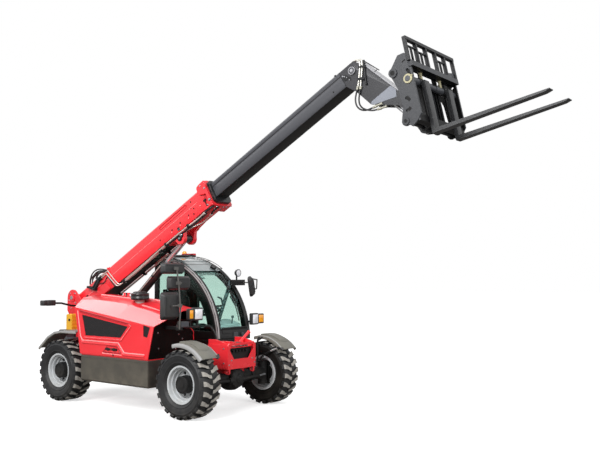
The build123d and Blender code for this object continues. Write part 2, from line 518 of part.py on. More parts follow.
SEAT_X, SEAT_Y = -190, (CAB_IN_Y + CAB_OUT_Y) / 2
seat = box(SEAT_X - 150, SEAT_X + 150, SEAT_Y - 150, SEAT_Y + 150, FLOOR_Z + RUN, 900)
seat += box(SEAT_X - 190, SEAT_X + 270, SEAT_Y - 235, SEAT_Y + 235, 900, 1010)
seat += Pos(SEAT_X - 150, SEAT_Y, 1280) * Rot(0, -8, 0) * Box(85, 450, 600)
nodes["operator_seat"] = seat
COLUMN_X = CAB_FRONT_X - 207
column = Plane(origin=(COLUMN_X, SEAT_Y, 700), z_dir=(-0.45, 0, 1)) * Cylinder(38, 560, align=(Align.CENTER, Align.CENTER, Align.MIN))
wheel_centre = Plane(origin=(COLUMN_X, SEAT_Y, 700), z_dir=(-0.45, 0, 1)) * Pos(0, 0, 560)
column += wheel_centre * (Torus(165, 14) + Box(310, 30, 14) + Cylinder(40, 34))
column += box(COLUMN_X - 130, COLUMN_X + 40, SEAT_Y - 200, SEAT_Y + 200, FLOOR_Z + RUN, 1000)
nodes["steering_console"] = column

# ---- boom -----------------------------------------------------------------------------------
RIDGE = -105                  # height of the bend along the boom's sides


def boom_tube(points, s0, s1):
    """Closed section of (y, n) points, given for the left side, extruded along the boom."""
    outline = points + [(-y, n) for y, n in reversed(points)]
    plane = Plane(origin=(s0, 0, 0), x_dir=(0, 1, 0), z_dir=(1, 0, 0))
    return extrude(plane * make_face(Polyline(*outline, close=True)), amount=s1 - s0)


def outer_section(wall=0.0):
    return [(115 - wall * 0.5, OUTER_TOP - wall), (OUTER_HALF - 10 - wall, OUTER_TOP - 25 - wall * 0.5),
            (OUTER_HALF - wall, RIDGE), (OUTER_HALF - 18 - wall, OUTER_LOW + wall)]


def inner_section(wall=0.0):
    return [(INNER_HALF - 14 - wall * 0.5, INNER_TOP - wall), (INNER_HALF - wall, INNER_TOP - 14 - wall * 0.5),
            (INNER_HALF - wall, INNER_LOW + 14 + wall * 0.5), (INNER_HALF - 14 - wall * 0.5, INNER_LOW + wall)]


HOSE_R = 9.5


def hose(points):
    """Hose on straight runs joined by arcs, each as large as its two runs allow."""
    points = [Vector(*p) for p in points]
    radii = []
    for a, b, c in zip(points, points[1:], points[2:]):
        turn = math.radians((b - a).get_angle(c - b))
        radii.append(0.45 * min((b - a).length, (c - b).length) / math.tan(turn / 2))
    path = FilletPolyline(*points, radius=radii)
    print("hose length", round(path.length, 1), "radii", [round(r) for r in radii])
    return sweep(Plane(origin=path @ 0, z_dir=path % 0) * Circle(HOSE_R), path=path)


def fitting(before, end, length):
    """Crimped fitting that a hose ends in, in line with its last run."""
    return bar(end, end + (end - before).normalized() * length, HOSE_R + 4.5)


# Hose loops on the boom's tail, from a clamp to a gland in the top plate: s, n of each point.
TAIL_HOSE_Y = (-78, -42)
TAIL_HOSE = ((748, 56), (676, 56), (604, 88), (528, 126), (446, 142), (366, 134), (310, 102), (290, 50))
# Hose loops on the right of the nose, from the pipes down to the tilt fittings: s, y, n.
NOSE_HOSES = {
    "outer": ((5512, -114, -324), (5466, -114, -364), (5428, -116, -418), (5410, -117, -480), (5424, -117, -542),
              (5466, -116, -590), (5522, -114, -618), (5580, -114, -632)),
    "inner": ((5546, -114, -346), (5504, -114, -392), (5472, -126, -448), (5460, -140, -510), (5474, -148, -571),
              (5512, -143, -622), (5562, -114, -664), (5616, -114, -684)),
}
TAIL_S = -110
outer = boom_tube(outer_section(), TAIL_S, OUTER_LENGTH) - boom_tube(outer_section(OUTER_WALL), TAIL_S - 10, OUTER_LENGTH + 10)
outer -= plate([(TAIL_S - 10, -300), (TAIL_S - 10, -60), (TAIL_S + 20, -60), (160, -300)], -200, 200)
outer += both_sides(cross_bar(0, 0, 62, OUTER_HALF - 14, OUTER_HALF + 28 - RUN))
outer -= cross_bar(0, 0, PIVOT_R + RUN, -220, 220)
collar = boom_tube([(120, OUTER_TOP + 22), (COLLAR_HALF, OUTER_TOP - 20), (COLLAR_HALF, OUTER_LOW - 20),
                    (110, OUTER_LOW - 48)], OUTER_LENGTH - 40, OUTER_LENGTH)
outer += collar - boom_tube(outer_section(OUTER_WALL), OUTER_LENGTH - 60, OUTER_LENGTH + 10)
LUG_IN, LUG_OUT = 67, 118
LIFT_LUG_R = 80
lug_outline = ([(LIFT_PIN_S - 230, OUTER_LOW + 2), (LIFT_PIN_S - 110, OUTER_LOW - 30)]
               + arc_points(LIFT_PIN_S, LIFT_PIN_N, LIFT_LUG_R, 190, 350, 12)
               + [(LIFT_PIN_S + 120, OUTER_LOW - 30), (LIFT_PIN_S + 420, OUTER_LOW + 2)])
outer += both_sides(plate(lug_outline, LUG_IN, LUG_OUT))
outer += cross_bar(LIFT_PIN_S, LIFT_PIN_N, 28, -LUG_OUT - 12, LUG_OUT + 12)
for y in TAIL_HOSE_Y:
    route = [Vector(x, y, z) for x, z in TAIL_HOSE]
    outer += fitting(route[1], route[0], 46) + fitting(route[-2], route[-1], 22)
    outer += box(route[0].X + 6, route[0].X + 40, y - 14, y + 14, OUTER_TOP - 1, route[0].Z)
nodes["outer_boom"] = BOOM * outer

pads = boom_tube([(115, OUTER_TOP + 6), (PAD_HALF, OUTER_TOP - 22), (PAD_HALF, OUTER_LOW + 8), (105, OUTER_LOW - 24)],
                 OUTER_LENGTH + RUN, OUTER_LENGTH + PAD_DEPTH)
pads -= boom_tube(inner_section(-RUN), OUTER_LENGTH - 10, OUTER_LENGTH + PAD_DEPTH + 10)
nodes["boom_wear_pads"] = BOOM * pads

inner = boom_tube(inner_section(), INNER_BACK, INNER_FRONT)
inner += boom_tube(outer_section(OUTER_WALL + 0.6), INNER_BACK, INNER_BACK + PAD_DEPTH)
inner -= boom_tube(inner_section(INNER_WALL), INNER_BACK - 10, INNER_FRONT + 10)
nodes["inner_boom"] = BOOM * inner

# Nose: two gooseneck plates with a bent front plate, open below where the tilt cylinder works.
NOSE_TOP = INNER_TOP
nose_outline = ([(INNER_FRONT + RUN, INNER_LOW), (5472, -313), (5503, -394), (5566, -576), (5841, -791)]
                + arc_points(HINGE_S, HINGE_N, 82, 213.7, 393.7, 10)
                + [(5917, -657), (5725, -168), (5622, NOSE_TOP), (INNER_FRONT + RUN, NOSE_TOP)])
boom_nose = both_sides(plate(nose_outline, NOSE_HALF - NOSE_PLATE, NOSE_HALF))
front_skin = [(5622, NOSE_TOP), (5725, -168), (5917, -657), (5900, -664), (5709, -174), (5611, -12),
              (INNER_FRONT + RUN, -12), (INNER_FRONT + RUN, NOSE_TOP)]
boom_nose += plate(front_skin, -NOSE_HALF + 1, NOSE_HALF - 1)
rear_skin = [(INNER_FRONT + RUN, INNER_LOW), (5472, -313), (5503, -394), (5515, -390), (5484, -309), (INNER_FRONT + RUN, INNER_LOW + 22)]
boom_nose += plate(rear_skin, -NOSE_HALF + 1, NOSE_HALF - 1)
HINGE_R = 32
boom_nose += cross_bar(HINGE_S, HINGE_N, 52, -HEAD_HALF, HEAD_HALF) + both_sides(cross_bar(HINGE_S, HINGE_N, 70, 46, HEAD_HALF))
boom_nose -= cross_bar(HINGE_S, HINGE_N, HINGE_R + RUN, -HEAD_HALF - 5, HEAD_HALF + 5)
boom_nose += both_sides(cross_bar(TILT_BASE_S, TILT_BASE_N, 48, TILT_BARREL_R + RUN, NOSE_HALF + 14))
boom_nose += cross_bar(TILT_BASE_S, TILT_BASE_N, 20, -NOSE_HALF, NOSE_HALF)
for points in NOSE_HOSES.values():
    route = [Vector(*p) for p in points]
    boom_nose += fitting(route[1], route[0], 26) + fitting(route[-2], route[-1], 40)
nodes["boom_nose"] = BOOM * boom_nose
for side, points in NOSE_HOSES.items():
    nodes[f"nose_hose_{side}"] = BOOM * hose(points)
for side, y in zip(("right", "left"), TAIL_HOSE_Y):
    nodes[f"tail_hose_{side}"] = BOOM * hose([(x, y, z) for x, z in TAIL_HOSE])

# ---- cylinders ------------------------------------------------------------------------------


def cylinder_pair(base, eye, barrel_r, rod_r, base_eye_r, rod_eye_r, pins, half, barrel_length, rod_length):
    """Barrel and rod between two pins, in the side view; pins are the pin radii."""
    (x0, z0), (x1, z1) = base, eye
    length = math.hypot(x1 - x0, z1 - z0)
    angle = math.degrees(math.atan2(z1 - z0, x1 - x0))
    place = Pos(x0, 0, z0) * Rot(0, -angle, 0)
    along = Rot(0, 90, 0)
    low = (Align.CENTER, Align.CENTER, Align.MIN)
    barrel = Pos(base_eye_r * 0.6, 0, 0) * along * Cylinder(barrel_r, barrel_length - base_eye_r * 0.6, align=low)
    barrel += cross_bar(0, 0, base_eye_r, -half, half)
    barrel += Pos(barrel_length - 40, 0, 0) * along * Cylinder(barrel_r + 6, 40, align=low)
    barrel -= cross_bar(0, 0, pins[0] + RUN, -half - 5, half + 5)
    bore_start = base_eye_r + 12
    barrel -= Pos(bore_start, 0, 0) * along * Cylinder(rod_r + RUN, barrel_length, align=low)
    rod = Pos(length - rod_length, 0, 0) * along * Cylinder(rod_r, rod_length - rod_eye_r * 0.6, align=low)
    rod += cross_bar(length, 0, rod_eye_r, -half, half)
    rod -= cross_bar(length, 0, pins[1] + RUN, -half - 5, half + 5)
    return place * barrel, place * rod


lift_dx, lift_dz = turned(LIFT_PIN_S, LIFT_PIN_N, BOOM_ANGLE)
nodes["lift_barrel"], nodes["lift_rod"] = cylinder_pair(
    (LIFT_BASE_X, LIFT_BASE_Z), (PIVOT_X + lift_dx, PIVOT_Z + lift_dz),
    LIFT_BARREL_R, LIFT_ROD_R, 52, LIFT_EYE_R, (28, 28), 62, 1690, 1280)
tilt_base = turned(TILT_BASE_S, TILT_BASE_N, BOOM_ANGLE)
TILT_EYE_U, TILT_EYE_V = -258, 163
eye_dx, eye_dz = turned(TILT_EYE_U, TILT_EYE_V, CARRIAGE_TILT)
nodes["tilt_barrel"], nodes["tilt_rod"] = cylinder_pair(
    (PIVOT_X + tilt_base[0], PIVOT_Z + tilt_base[1]), (HEEL_X + eye_dx, HEEL_Z + eye_dz),
    TILT_BARREL_R, TILT_ROD_R, 42, 42, (20, 20), 32, 650, 680)

# ---- coupler, carriage and forks ------------------------------------------------------------
HINGE_U, HINGE_V = -HINGE_BACK, HINGE_UP
COUPLER_IN, COUPLER_OUT = HEAD_HALF + RUN + 4, HEAD_HALF + 32
coupler_outline = ([(-140, 130), (-140, 640)] + arc_points(HOOK_U, HOOK_V, 52, 20, 200, 6)
                   + arc_points(HINGE_U, HINGE_V, 78, 160, 200, 3)
                   + arc_points(LUG_U, LUG_V, 50, 190, 300, 5))
coupler = both_sides(plate(coupler_outline, COUPLER_IN, COUPLER_OUT))
coupler += cross_bar(HINGE_U, HINGE_V, HINGE_R, -COUPLER_OUT - 10, COUPLER_OUT + 10)
coupler += cross_bar(HOOK_U, HOOK_V, 24, -CARRIAGE_HALF - 16, CARRIAGE_HALF + 16)
coupler += both_sides(cross_bar(LUG_U, LUG_V, 24, COUPLER_IN, CARRIAGE_HALF + 10))
coupler += box(-152, -138, -COUPLER_OUT, COUPLER_OUT, 130, 610) - box(-160, -130, -36, 36, 120, 330)
clevis = [(-150, 290), (-150, 90)] + arc_points(TILT_EYE_U, TILT_EYE_V, 48, 250, 110, 6)
coupler += both_sides(plate(clevis, 36, 58))
coupler += both_sides(cross_bar(TILT_EYE_U, TILT_EYE_V, 19.7, 32 + 3, 60))
nodes["fork_coupler"] = FORKS * coupler

side_outline = ([(-27, 184), (-27, 830), (-80, 858), (-153, 858)]
                + arc_points(HOOK_U, HOOK_V, 50, 120, 235, 5)
                + [(-224, 508), (-212, 306)]
                + arc_points(LUG_U, LUG_V, 50, 150, 300, 5)
                + [(-150, 82), (-77, 127)])
side_holes = [(HOOK_U, HOOK_V, 24 + RUN), (LUG_U, LUG_V, 24 + RUN), (SHAFT_U, SHAFT_V, SHAFT_R + RUN),
              (-77, 668, 16), (-151, 387, 16), (-171, 262, 16)]
carriage = both_sides(plate(side_outline, CARRIAGE_HALF - 25, CARRIAGE_HALF, side_holes))
carriage += box(-50, 0, -CARRIAGE_HALF - 10, CARRIAGE_HALF + 10, 690, 750)
carriage += box(-134, -54, -CARRIAGE_HALF + 10, CARRIAGE_HALF - 10, 120, 190)
carriage += box(-134, -50, -CARRIAGE_HALF + 10, CARRIAGE_HALF - 10, 715, 745)
for y in (-130, 130):
    carriage += box(-134, -120, y - 12, y + 12, 120, 730)
nodes["fork_carriage"] = FORKS * carriage

rest = box(-50, -6, -BACKREST_HALF, BACKREST_HALF, BACKREST_TOP - 36, BACKREST_TOP)
for i in range(6):
    y = -BACKREST_HALF + 14 + i * (2 * BACKREST_HALF - 28) / 5
    rest += box(-50, -10, y - 14, y + 14, 750 + RUN, BACKREST_TOP - 30)
nodes["load_backrest"] = FORKS * rest

shaft = cross_bar(SHAFT_U, SHAFT_V, SHAFT_R, -CARRIAGE_HALF - 18, CARRIAGE_HALF + 18)
nodes["fork_shaft"] = FORKS * shaft

fork = box(-50, -50 + FORK_THICK, FORK_Y - FORK_WIDTH / 2, FORK_Y + FORK_WIDTH / 2, 0, SHAFT_V)
fork += cross_bar(SHAFT_U, SHAFT_V, 48, FORK_Y - FORK_WIDTH / 2, FORK_Y + FORK_WIDTH / 2)
blade = [(-50, 0), (FORK_LENGTH - 60, 0), (FORK_LENGTH, 12), (FORK_LENGTH, 22), (0, FORK_THICK + 3), (-50, FORK_THICK + 3)]
fork += plate(blade, FORK_Y - FORK_WIDTH / 2, FORK_Y + FORK_WIDTH / 2)
fork -= cross_bar(SHAFT_U, SHAFT_V, SHAFT_R + RUN, FORK_Y - 100, FORK_Y + 100)
nodes["forks"] = FORKS * both_sides(fork)

# ---- mirrors and lamps ----------------------------------------------------------------------
MAST_X, MAST_Y = 1010, -760
ARM_Z = 1060                  # bracket that carries the right mirrors and head lamps
mirrors = post(MAST_X, MAST_Y, 11, ARM_Z, 1830)
mirrors += box(723, MAST_X + 20, -700, -660, ARM_Z - 20, ARM_Z + 20)
mirrors += box(MAST_X - 20, MAST_X + 20, MAST_Y - 15, -660, ARM_Z - 20, ARM_Z + 20)
mirrors += bar((MAST_X, -690, ARM_Z + 10), (MAST_X, -390, ARM_Z + 10), 12)
for y0, y1, z0, z1 in ((-270, 105, 1728, 1850), (-175, 205, 1535, 1690), (-275, 15, 1180, 1500)):
    mirrors += box(MAST_X + 9, MAST_X + 40, MAST_Y + y0, MAST_Y + y1, z0, z1)
CAB_X_1600 = CAB_ARC_X + math.sqrt(CAB_ARC_R ** 2 - (1600 - CAB_ARC_Z) ** 2)
BAR_X = CAB_X_1600 + 108.5    # bar that carries the work lamp and the left mirror
far_mirror = Pos(735, 925, 1545) * Rot(12, 0, 0) * Box(34, 90, 290)
far_mirror += bar((735, 925, 1600), (BAR_X + 30 + RUN, 925, 1600), 12) + bar((735, 925, 1500), (735, 1045, 1530), 9)
nodes["mirrors"] = mirrors + far_mirror

lamps = box(975, 1035, -500, -350, 1150, 1300) + box(975, 1030, -585, -502, 1160, 1290)
for y in (-545, -430):
    lamps += post(MAST_X, y, 10, ARM_Z + 22 + RUN, 1170)
lamps += box(810, 870, 790, 920, 1025, 1175) + box(815, 865, 919, 1050, 1035, 1165)
lamps += bar((830, 840, 1060), (700, 840, 1060), 14)
lamps += Pos(BAR_X + 10, 812, 1735) * Rot(0, 90, 0) * Cylinder(52, 60) + post(BAR_X, 812, 12, 1635, 1690)
lamps += box(BAR_X - 30, BAR_X + 30, 700, 960, 1560, 1640) + box(CAB_X_1600 - 41.5, BAR_X, 818, 846, 1585, 1615)
lamps += both_sides(box(FRAME_BACK_X - 140, FRAME_BACK_X - 50, 620, 830, 1270, 1350)
                    + bar((FRAME_BACK_X - 90, TOWER_OUT + 2.4, 1250), (FRAME_BACK_X - 95, 640, 1305), 14))
lamps -= plate(cab_outline(-RUN, 820), CAB_IN_Y - RUN, CAB_OUT_Y + RUN)
lamps += post(-420, 740, 40, ROOF_TOP + 22 + RUN, ROOF_TOP + 110)
nodes["lamps"] = lamps

# ---- write ----------------------------------------------------------------------------------
os.makedirs("parts", exist_ok=True)
for name, shape in nodes.items():
    export_step(shape.moved(Location((-ORIGIN_X, 0, 0))), f"parts/{name}.step")
print("origin x in the chassis frame", round(ORIGIN_X, 3), "nodes", len(nodes))
print("hinge", round(HINGE_X, 2), round(HINGE_Z, 2), "heel", round(HEEL_X, 2), round(HEEL_Z, 2))
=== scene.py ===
import json
from math import cos, pi, radians, sin, tau

import bmesh
import bpy
from mathutils import Matrix, Vector


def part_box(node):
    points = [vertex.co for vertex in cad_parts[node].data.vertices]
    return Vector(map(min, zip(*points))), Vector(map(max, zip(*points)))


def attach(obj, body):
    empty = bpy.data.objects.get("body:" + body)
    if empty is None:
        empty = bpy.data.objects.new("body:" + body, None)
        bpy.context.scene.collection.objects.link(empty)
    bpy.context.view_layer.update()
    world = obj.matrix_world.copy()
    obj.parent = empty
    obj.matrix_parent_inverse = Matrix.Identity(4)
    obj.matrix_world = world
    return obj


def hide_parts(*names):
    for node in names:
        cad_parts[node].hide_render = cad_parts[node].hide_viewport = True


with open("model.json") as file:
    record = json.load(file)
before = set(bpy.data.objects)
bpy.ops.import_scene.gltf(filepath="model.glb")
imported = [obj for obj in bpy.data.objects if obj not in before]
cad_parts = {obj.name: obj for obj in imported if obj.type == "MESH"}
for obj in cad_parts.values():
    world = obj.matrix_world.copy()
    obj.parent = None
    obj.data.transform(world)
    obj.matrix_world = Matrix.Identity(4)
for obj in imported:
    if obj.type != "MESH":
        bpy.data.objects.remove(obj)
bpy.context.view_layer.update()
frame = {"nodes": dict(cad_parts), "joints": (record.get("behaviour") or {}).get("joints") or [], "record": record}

# ---- camera ----------------------------------------------------------------------------------
# The viewer stands off the right front corner at head height and looks up along the
# raised boom, so the engine side, the nose and the fork end all show.
lens = bpy.data.cameras.new("camera")
lens.lens = 46.94
lens.sensor_width = 36.0
camera = bpy.data.objects.new("camera", lens)
camera.location = (6.179, -7.447, 1.733)
camera.rotation_euler = (radians(93.48), 0.0, radians(37.2))
bpy.context.scene.collection.objects.link(camera)
bpy.context.scene.camera = camera

# ---- hydraulic hoses -------------------------------------------------------------------------
# Black rubber hoses over braided wire, crimped into fittings at both ends. Two loop over the
# tail of the boom into its top plate, and two hang from the nose to the tilt cylinder.
joints = {joint["name"]: joint for joint in frame["joints"]}
boom_pin = Vector(joints["boom_lift"]["pos_m"])


def laid_along(origin, along):
    """A place at an origin with its x along a direction, y to the left and z square to both."""
    up = Vector((-along.z, 0, along.x))
    return Matrix.Translation(origin) @ Matrix((along, (0, 1, 0), up)).transposed().to_4x4()


boom_place = laid_along(boom_pin, Vector(joints["boom_extend"]["axis"]).normalized())


def tone(red, green, blue):
    """A paint chip's 0 to 255 colour as the renderer's linear one."""
    parts = [part / 255 for part in (red, green, blue)]
    return tuple(p / 12.92 if p < 0.04 else ((p + 0.055) / 1.055) ** 2.4 for p in parts) + (1.0,)


def effect(name, inputs, outputs):
    """An empty shader group with its named sockets, and its two end nodes."""
    group = bpy.data.node_groups.new(name, "ShaderNodeTree")
    for side, sockets in (("INPUT", inputs), ("OUTPUT", outputs)):
        for label, value in sockets.items():
            kind = "NodeSocketColor" if isinstance(value, tuple) else "NodeSocketFloat"
            socket = group.interface.new_socket(name=label, in_out=side, socket_type=kind)
            if side == "INPUT":
                socket.default_value = value
    return group, group.nodes.new("NodeGroupInput"), group.nodes.new("NodeGroupOutput")


def node(tree, kind, settings=None, **links):
    """A shader node with its settings, and its inputs given as values or as other nodes' sockets."""
    made = tree.nodes.new(kind)
    for key, value in (settings or {}).items():
        setattr(made, key, value)
    for key, value in links.items():
        socket = made.inputs[int(key[1:])] if key[1:].isdigit() else made.inputs[key.replace("_", " ")]
        if isinstance(value, bpy.types.NodeSocket):
            tree.links.new(value, socket)
        else:
            socket.default_value = value
    return made


def maths(tree, operation, clamp=False, **links):
    """The result of one sum on its inputs."""
    return node(tree, "ShaderNodeMath", {"operation": operation, "use_clamp": clamp}, **links).outputs[0]


def mixed(tree, share, first, second):
    """Two colours mixed by a share from 0 to 1."""
    return node(tree, "ShaderNodeMix", {"data_type": "RGBA"}, i0=share, i6=first, i7=second).outputs[2]


# Dust: field dust that fades out from the ground up and gathers in soft patches.
dust, entry, leave = effect(
    "Dust", {"Clean": (0.5, 0.5, 0.5, 1), "Dust": (0.3, 0.27, 0.22, 1), "Amount": 0.3, "Size": 6.0,
             "Foot": 0.0, "Head": 1.0}, {"Colour": (0, 0, 0, 1), "Mask": 0.0})
space = node(dust, "ShaderNodeTexCoord").outputs["Object"]
patches = node(dust, "ShaderNodeTexNoise", Vector=space, Scale=entry.outputs["Size"], Detail=6.0)
spread = node(dust, "ShaderNodeMapRange", Value=patches.outputs["Fac"], i1=0.38, i2=0.66)
height = node(dust, "ShaderNodeSeparateXYZ", Vector=space)
fade = node(dust, "ShaderNodeMapRange", Value=height.outputs["Z"], i1=entry.outputs["Foot"],
            i2=entry.outputs["Head"], i3=1.0, i4=0.0)
lift = maths(dust, "MULTIPLY_ADD", i0=spread.outputs["Result"], i1=0.7, i2=0.3)
laid = maths(dust, "MULTIPLY", i0=lift, i1=fade.outputs["Result"])
mask = maths(dust, "MULTIPLY", clamp=True, i0=laid, i1=entry.outputs["Amount"])
dusted = mixed(dust, mask, entry.outputs["Clean"], entry.outputs["Dust"])
dust.links.new(dusted, leave.inputs["Colour"])
dust.links.new(mask, leave.inputs["Mask"])

# Drift: the slow change of a coat's depth from place to place, with a fine grain on top.
drift, entry, leave = effect(
    "Drift", {"Colour": (0.5, 0.5, 0.5, 1), "Size": 2.0, "Strength": 0.06, "Grain Size": 300.0,
              "Grain": 0.02}, {"Colour": (0, 0, 0, 1), "Height": 0.0})
space = node(drift, "ShaderNodeTexCoord").outputs["Object"]
slow = node(drift, "ShaderNodeTexNoise", Vector=space, Scale=entry.outputs["Size"], Detail=3.0)
fine = node(drift, "ShaderNodeTexNoise", Vector=space, Scale=entry.outputs["Grain Size"], Detail=2.0)
slow_part = maths(drift, "SUBTRACT", i0=slow.outputs["Fac"], i1=0.5)
slow_part = maths(drift, "MULTIPLY_ADD", i0=slow_part, i1=entry.outputs["Strength"], i2=1.0)
fine_part = maths(drift, "SUBTRACT", i0=fine.outputs["Fac"], i1=0.5)
both_parts = maths(drift, "MULTIPLY_ADD", i0=fine_part, i1=entry.outputs["Grain"], i2=slow_part)
shifted = node(drift, "ShaderNodeHueSaturation", Color=entry.outputs["Colour"], Value=both_parts)
drift.links.new(shifted.outputs[0], leave.inputs["Colour"])
drift.links.new(fine.outputs["Fac"], leave.inputs["Height"])


def bare_surface(name):
    """A new material, with its node tree and its main shader."""
    made = bpy.data.materials.new(name)
    made.use_nodes = True
    return made, made.node_tree, made.node_tree.nodes["Principled BSDF"]


def finish(name, colour, rough, metal=0.0, coat=0.0, drifting=0.1, size=2.5, grain=0.05, grain_size=260.0,
           bump=0.0004, dusty=0.25, foot=0.0, head=1.2, dust_tone=(150, 140, 122), dust_size=7.0, shine=0.5):
    """A surface whose colour drifts and gathers dust near the ground, with a fine grain in its gloss."""
    surface, tree, shader = bare_surface(name)
    shader.inputs["Metallic"].default_value = metal
    shader.inputs["Coat Weight"].default_value = coat
    shader.inputs["Coat Roughness"].default_value = 0.06
    shader.inputs["Specular IOR Level"].default_value = shine
    coat_part = node(tree, "ShaderNodeGroup", {"node_tree": drift}, Colour=colour, Size=size,
                     Strength=drifting, Grain_Size=grain_size, Grain=grain)
    dust_part = node(tree, "ShaderNodeGroup", {"node_tree": dust}, Clean=coat_part.outputs["Colour"],
                     Dust=tone(*dust_tone), Amount=dusty, Size=dust_size, Foot=foot, Head=head)
    gloss = maths(tree, "MULTIPLY_ADD", clamp=True, i0=dust_part.outputs["Mask"], i1=0.5, i2=rough)
    relief = node(tree, "ShaderNodeBump", Strength=1.0, Distance=bump, Height=coat_part.outputs["Height"])
    tree.links.new(dust_part.outputs["Colour"], shader.inputs["Base Color"])
    tree.links.new(gloss, shader.inputs["Roughness"])
    tree.links.new(relief.outputs[0], shader.inputs["Normal"])
    return surface


hose_rubber = finish("hose rubber", tone(30, 31, 34), 0.38, drifting=0.2, size=20, bump=0.0006, dusty=0.0)
tail_route = ((0.748, 0.056), (0.676, 0.056), (0.604, 0.088), (0.528, 0.126), (0.446, 0.142), (0.366, 0.134),
              (0.31, 0.102), (0.29, 0.05))
nose_routes = {"outer": ((5.512, -0.114, -0.324), (5.466, -0.114, -0.364), (5.428, -0.116, -0.418),
                         (5.41, -0.117, -0.48), (5.424, -0.117, -0.542), (5.466, -0.116, -0.59),
                         (5.522, -0.114, -0.618), (5.58, -0.114, -0.632)),
               "inner": ((5.546, -0.114, -0.346), (5.504, -0.114, -0.392), (5.472, -0.126, -0.448),
                         (5.46, -0.14, -0.51), (5.474, -0.148, -0.571), (5.512, -0.143, -0.622),
                         (5.562, -0.114, -0.664), (5.616, -0.114, -0.684)), }
hoses = [(f"tail_hose_{side}", "outer_boom", 0.515, [(s, y, n) for s, n in tail_route])
         for side, y in (("right", -0.078), ("left", -0.042))]
hoses += [("nose_hose_outer", "inner_boom", 0.437, nose_routes["outer"]),
          ("nose_hose_inner", "inner_boom", 0.444, nose_routes["inner"])]
for name, body, length, route in hoses:
    curve = bpy.data.curves.new(name + "_line", "CURVE")
    curve.dimensions = "3D"
    curve.bevel_depth = 0.0095
    curve.bevel_resolution = 4
    curve.use_fill_caps = True
    curve.materials.append(hose_rubber)
    spline = curve.splines.new("NURBS")
    spline.points.add(len(route) - 1)
    for point, place in zip(spline.points, route):
        point.co = (*(boom_place @ Vector(place)), 1.0)
    spline.order_u = 3
    spline.use_endpoint_u = True
    spline.resolution_u = 12
    hose = bpy.data.objects.new(name + "_rubber", curve)
    bpy.context.scene.collection.objects.link(hose)
    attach(hose, body)
    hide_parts(name)

# ---- studio ----------------------------------------------------------------------------------
# A plain pale floor under a plain white sky, one broad lamp on the engine side, one behind
# and over the machine that lies in the gloss of its sloping panels, and a low one in front.
floor_mesh = bpy.data.meshes.new("floor")
bm = bmesh.new()
bmesh.ops.create_grid(bm, x_segments=1, y_segments=1, size=60.0)
bm.to_mesh(floor_mesh)
bm.free()
floor = bpy.data.objects.new("floor", floor_mesh)
bpy.context.scene.collection.objects.link(floor)
paper, tree, shader = bare_surface("white floor")
shader.inputs["Roughness"].default_value = 0.9
shader.inputs["Specular IOR Level"].default_value = 0.0
path = node(tree, "ShaderNodeLightPath")
seen = maths(tree, "MAXIMUM", i0=path.outputs["Is Camera Ray"], i1=path.outputs["Is Transmission Ray"])
ground = mixed(tree, seen, (0.24, 0.23, 0.22, 1), (0.82, 0.82, 0.82, 1))
tree.links.new(ground, shader.inputs["Base Color"])
seen = maths(tree, "MULTIPLY", i0=seen, i1=0.6)
tree.links.new(seen, shader.inputs["Emission Strength"])
shader.inputs["Emission Color"].default_value = (1, 1, 1, 1)
floor_mesh.materials.append(paper)

world = bpy.data.worlds.new("white sky")
bpy.context.scene.world = world
world.use_nodes = True
tree = world.node_tree
sky = tree.nodes["Background"]
path = node(tree, "ShaderNodeLightPath")
seen = maths(tree, "MAXIMUM", i0=path.outputs["Is Camera Ray"], i1=path.outputs["Is Glossy Ray"])
seen = maths(tree, "MAXIMUM", i0=seen, i1=path.outputs["Is Transmission Ray"])
plain = node(tree, "ShaderNodeMapRange", Value=seen, i3=0.55, i4=1.0)
tree.links.new(plain.outputs["Result"], sky.inputs["Strength"])
sky.inputs["Color"].default_value = (1, 1, 1, 1)

for name, stand, aim, size, power in (
        ("lamp_side", (1.0, -9.0, 7.0), (-0.5, 0.0, 1.2), 5.0, 1020.0),
        ("lamp_over", (-9.5, -0.6, 9.6), (-1.5, -0.3, 1.4), 5.5, 400.0),
        ("lamp_front", (9.5, -1.5, 4.5), (0.0, 0.0, 1.6), 4.0, 350.0)):
    light = bpy.data.lights.new(name, "AREA")
    light.size = size
    light.energy = power
    lamp = bpy.data.objects.new(name, light)
    lamp.location = stand
    lamp.rotation_euler = (Vector(aim) - Vector(stand)).to_track_quat("-Z", "Y").to_euler()
    bpy.context.scene.collection.objects.link(lamp)
bpy.context.scene.view_settings.view_transform = "Standard"

# ---- tyres -----------------------------------------------------------------------------------
# Wide 12-16.5 tyres, moulded in one with deep slanted bars that run from the middle of the
# tread over the shoulder, left and right by turns. Dry earth dusts the bars, and their tops
# carry a painted highlight; the inboard wall is painted dark as shade.
wheel_names = ("front_left", "front_right", "rear_left", "rear_right")
mid_x = (joints["steer_front_left"]["pos_m"][0] + joints["steer_rear_left"]["pos_m"][0]) / 2
machine = Matrix.Translation((mid_x, 0, 0))            # x from midway between the axles
weld_gap = 0.00002                                     # points closer together than this are one


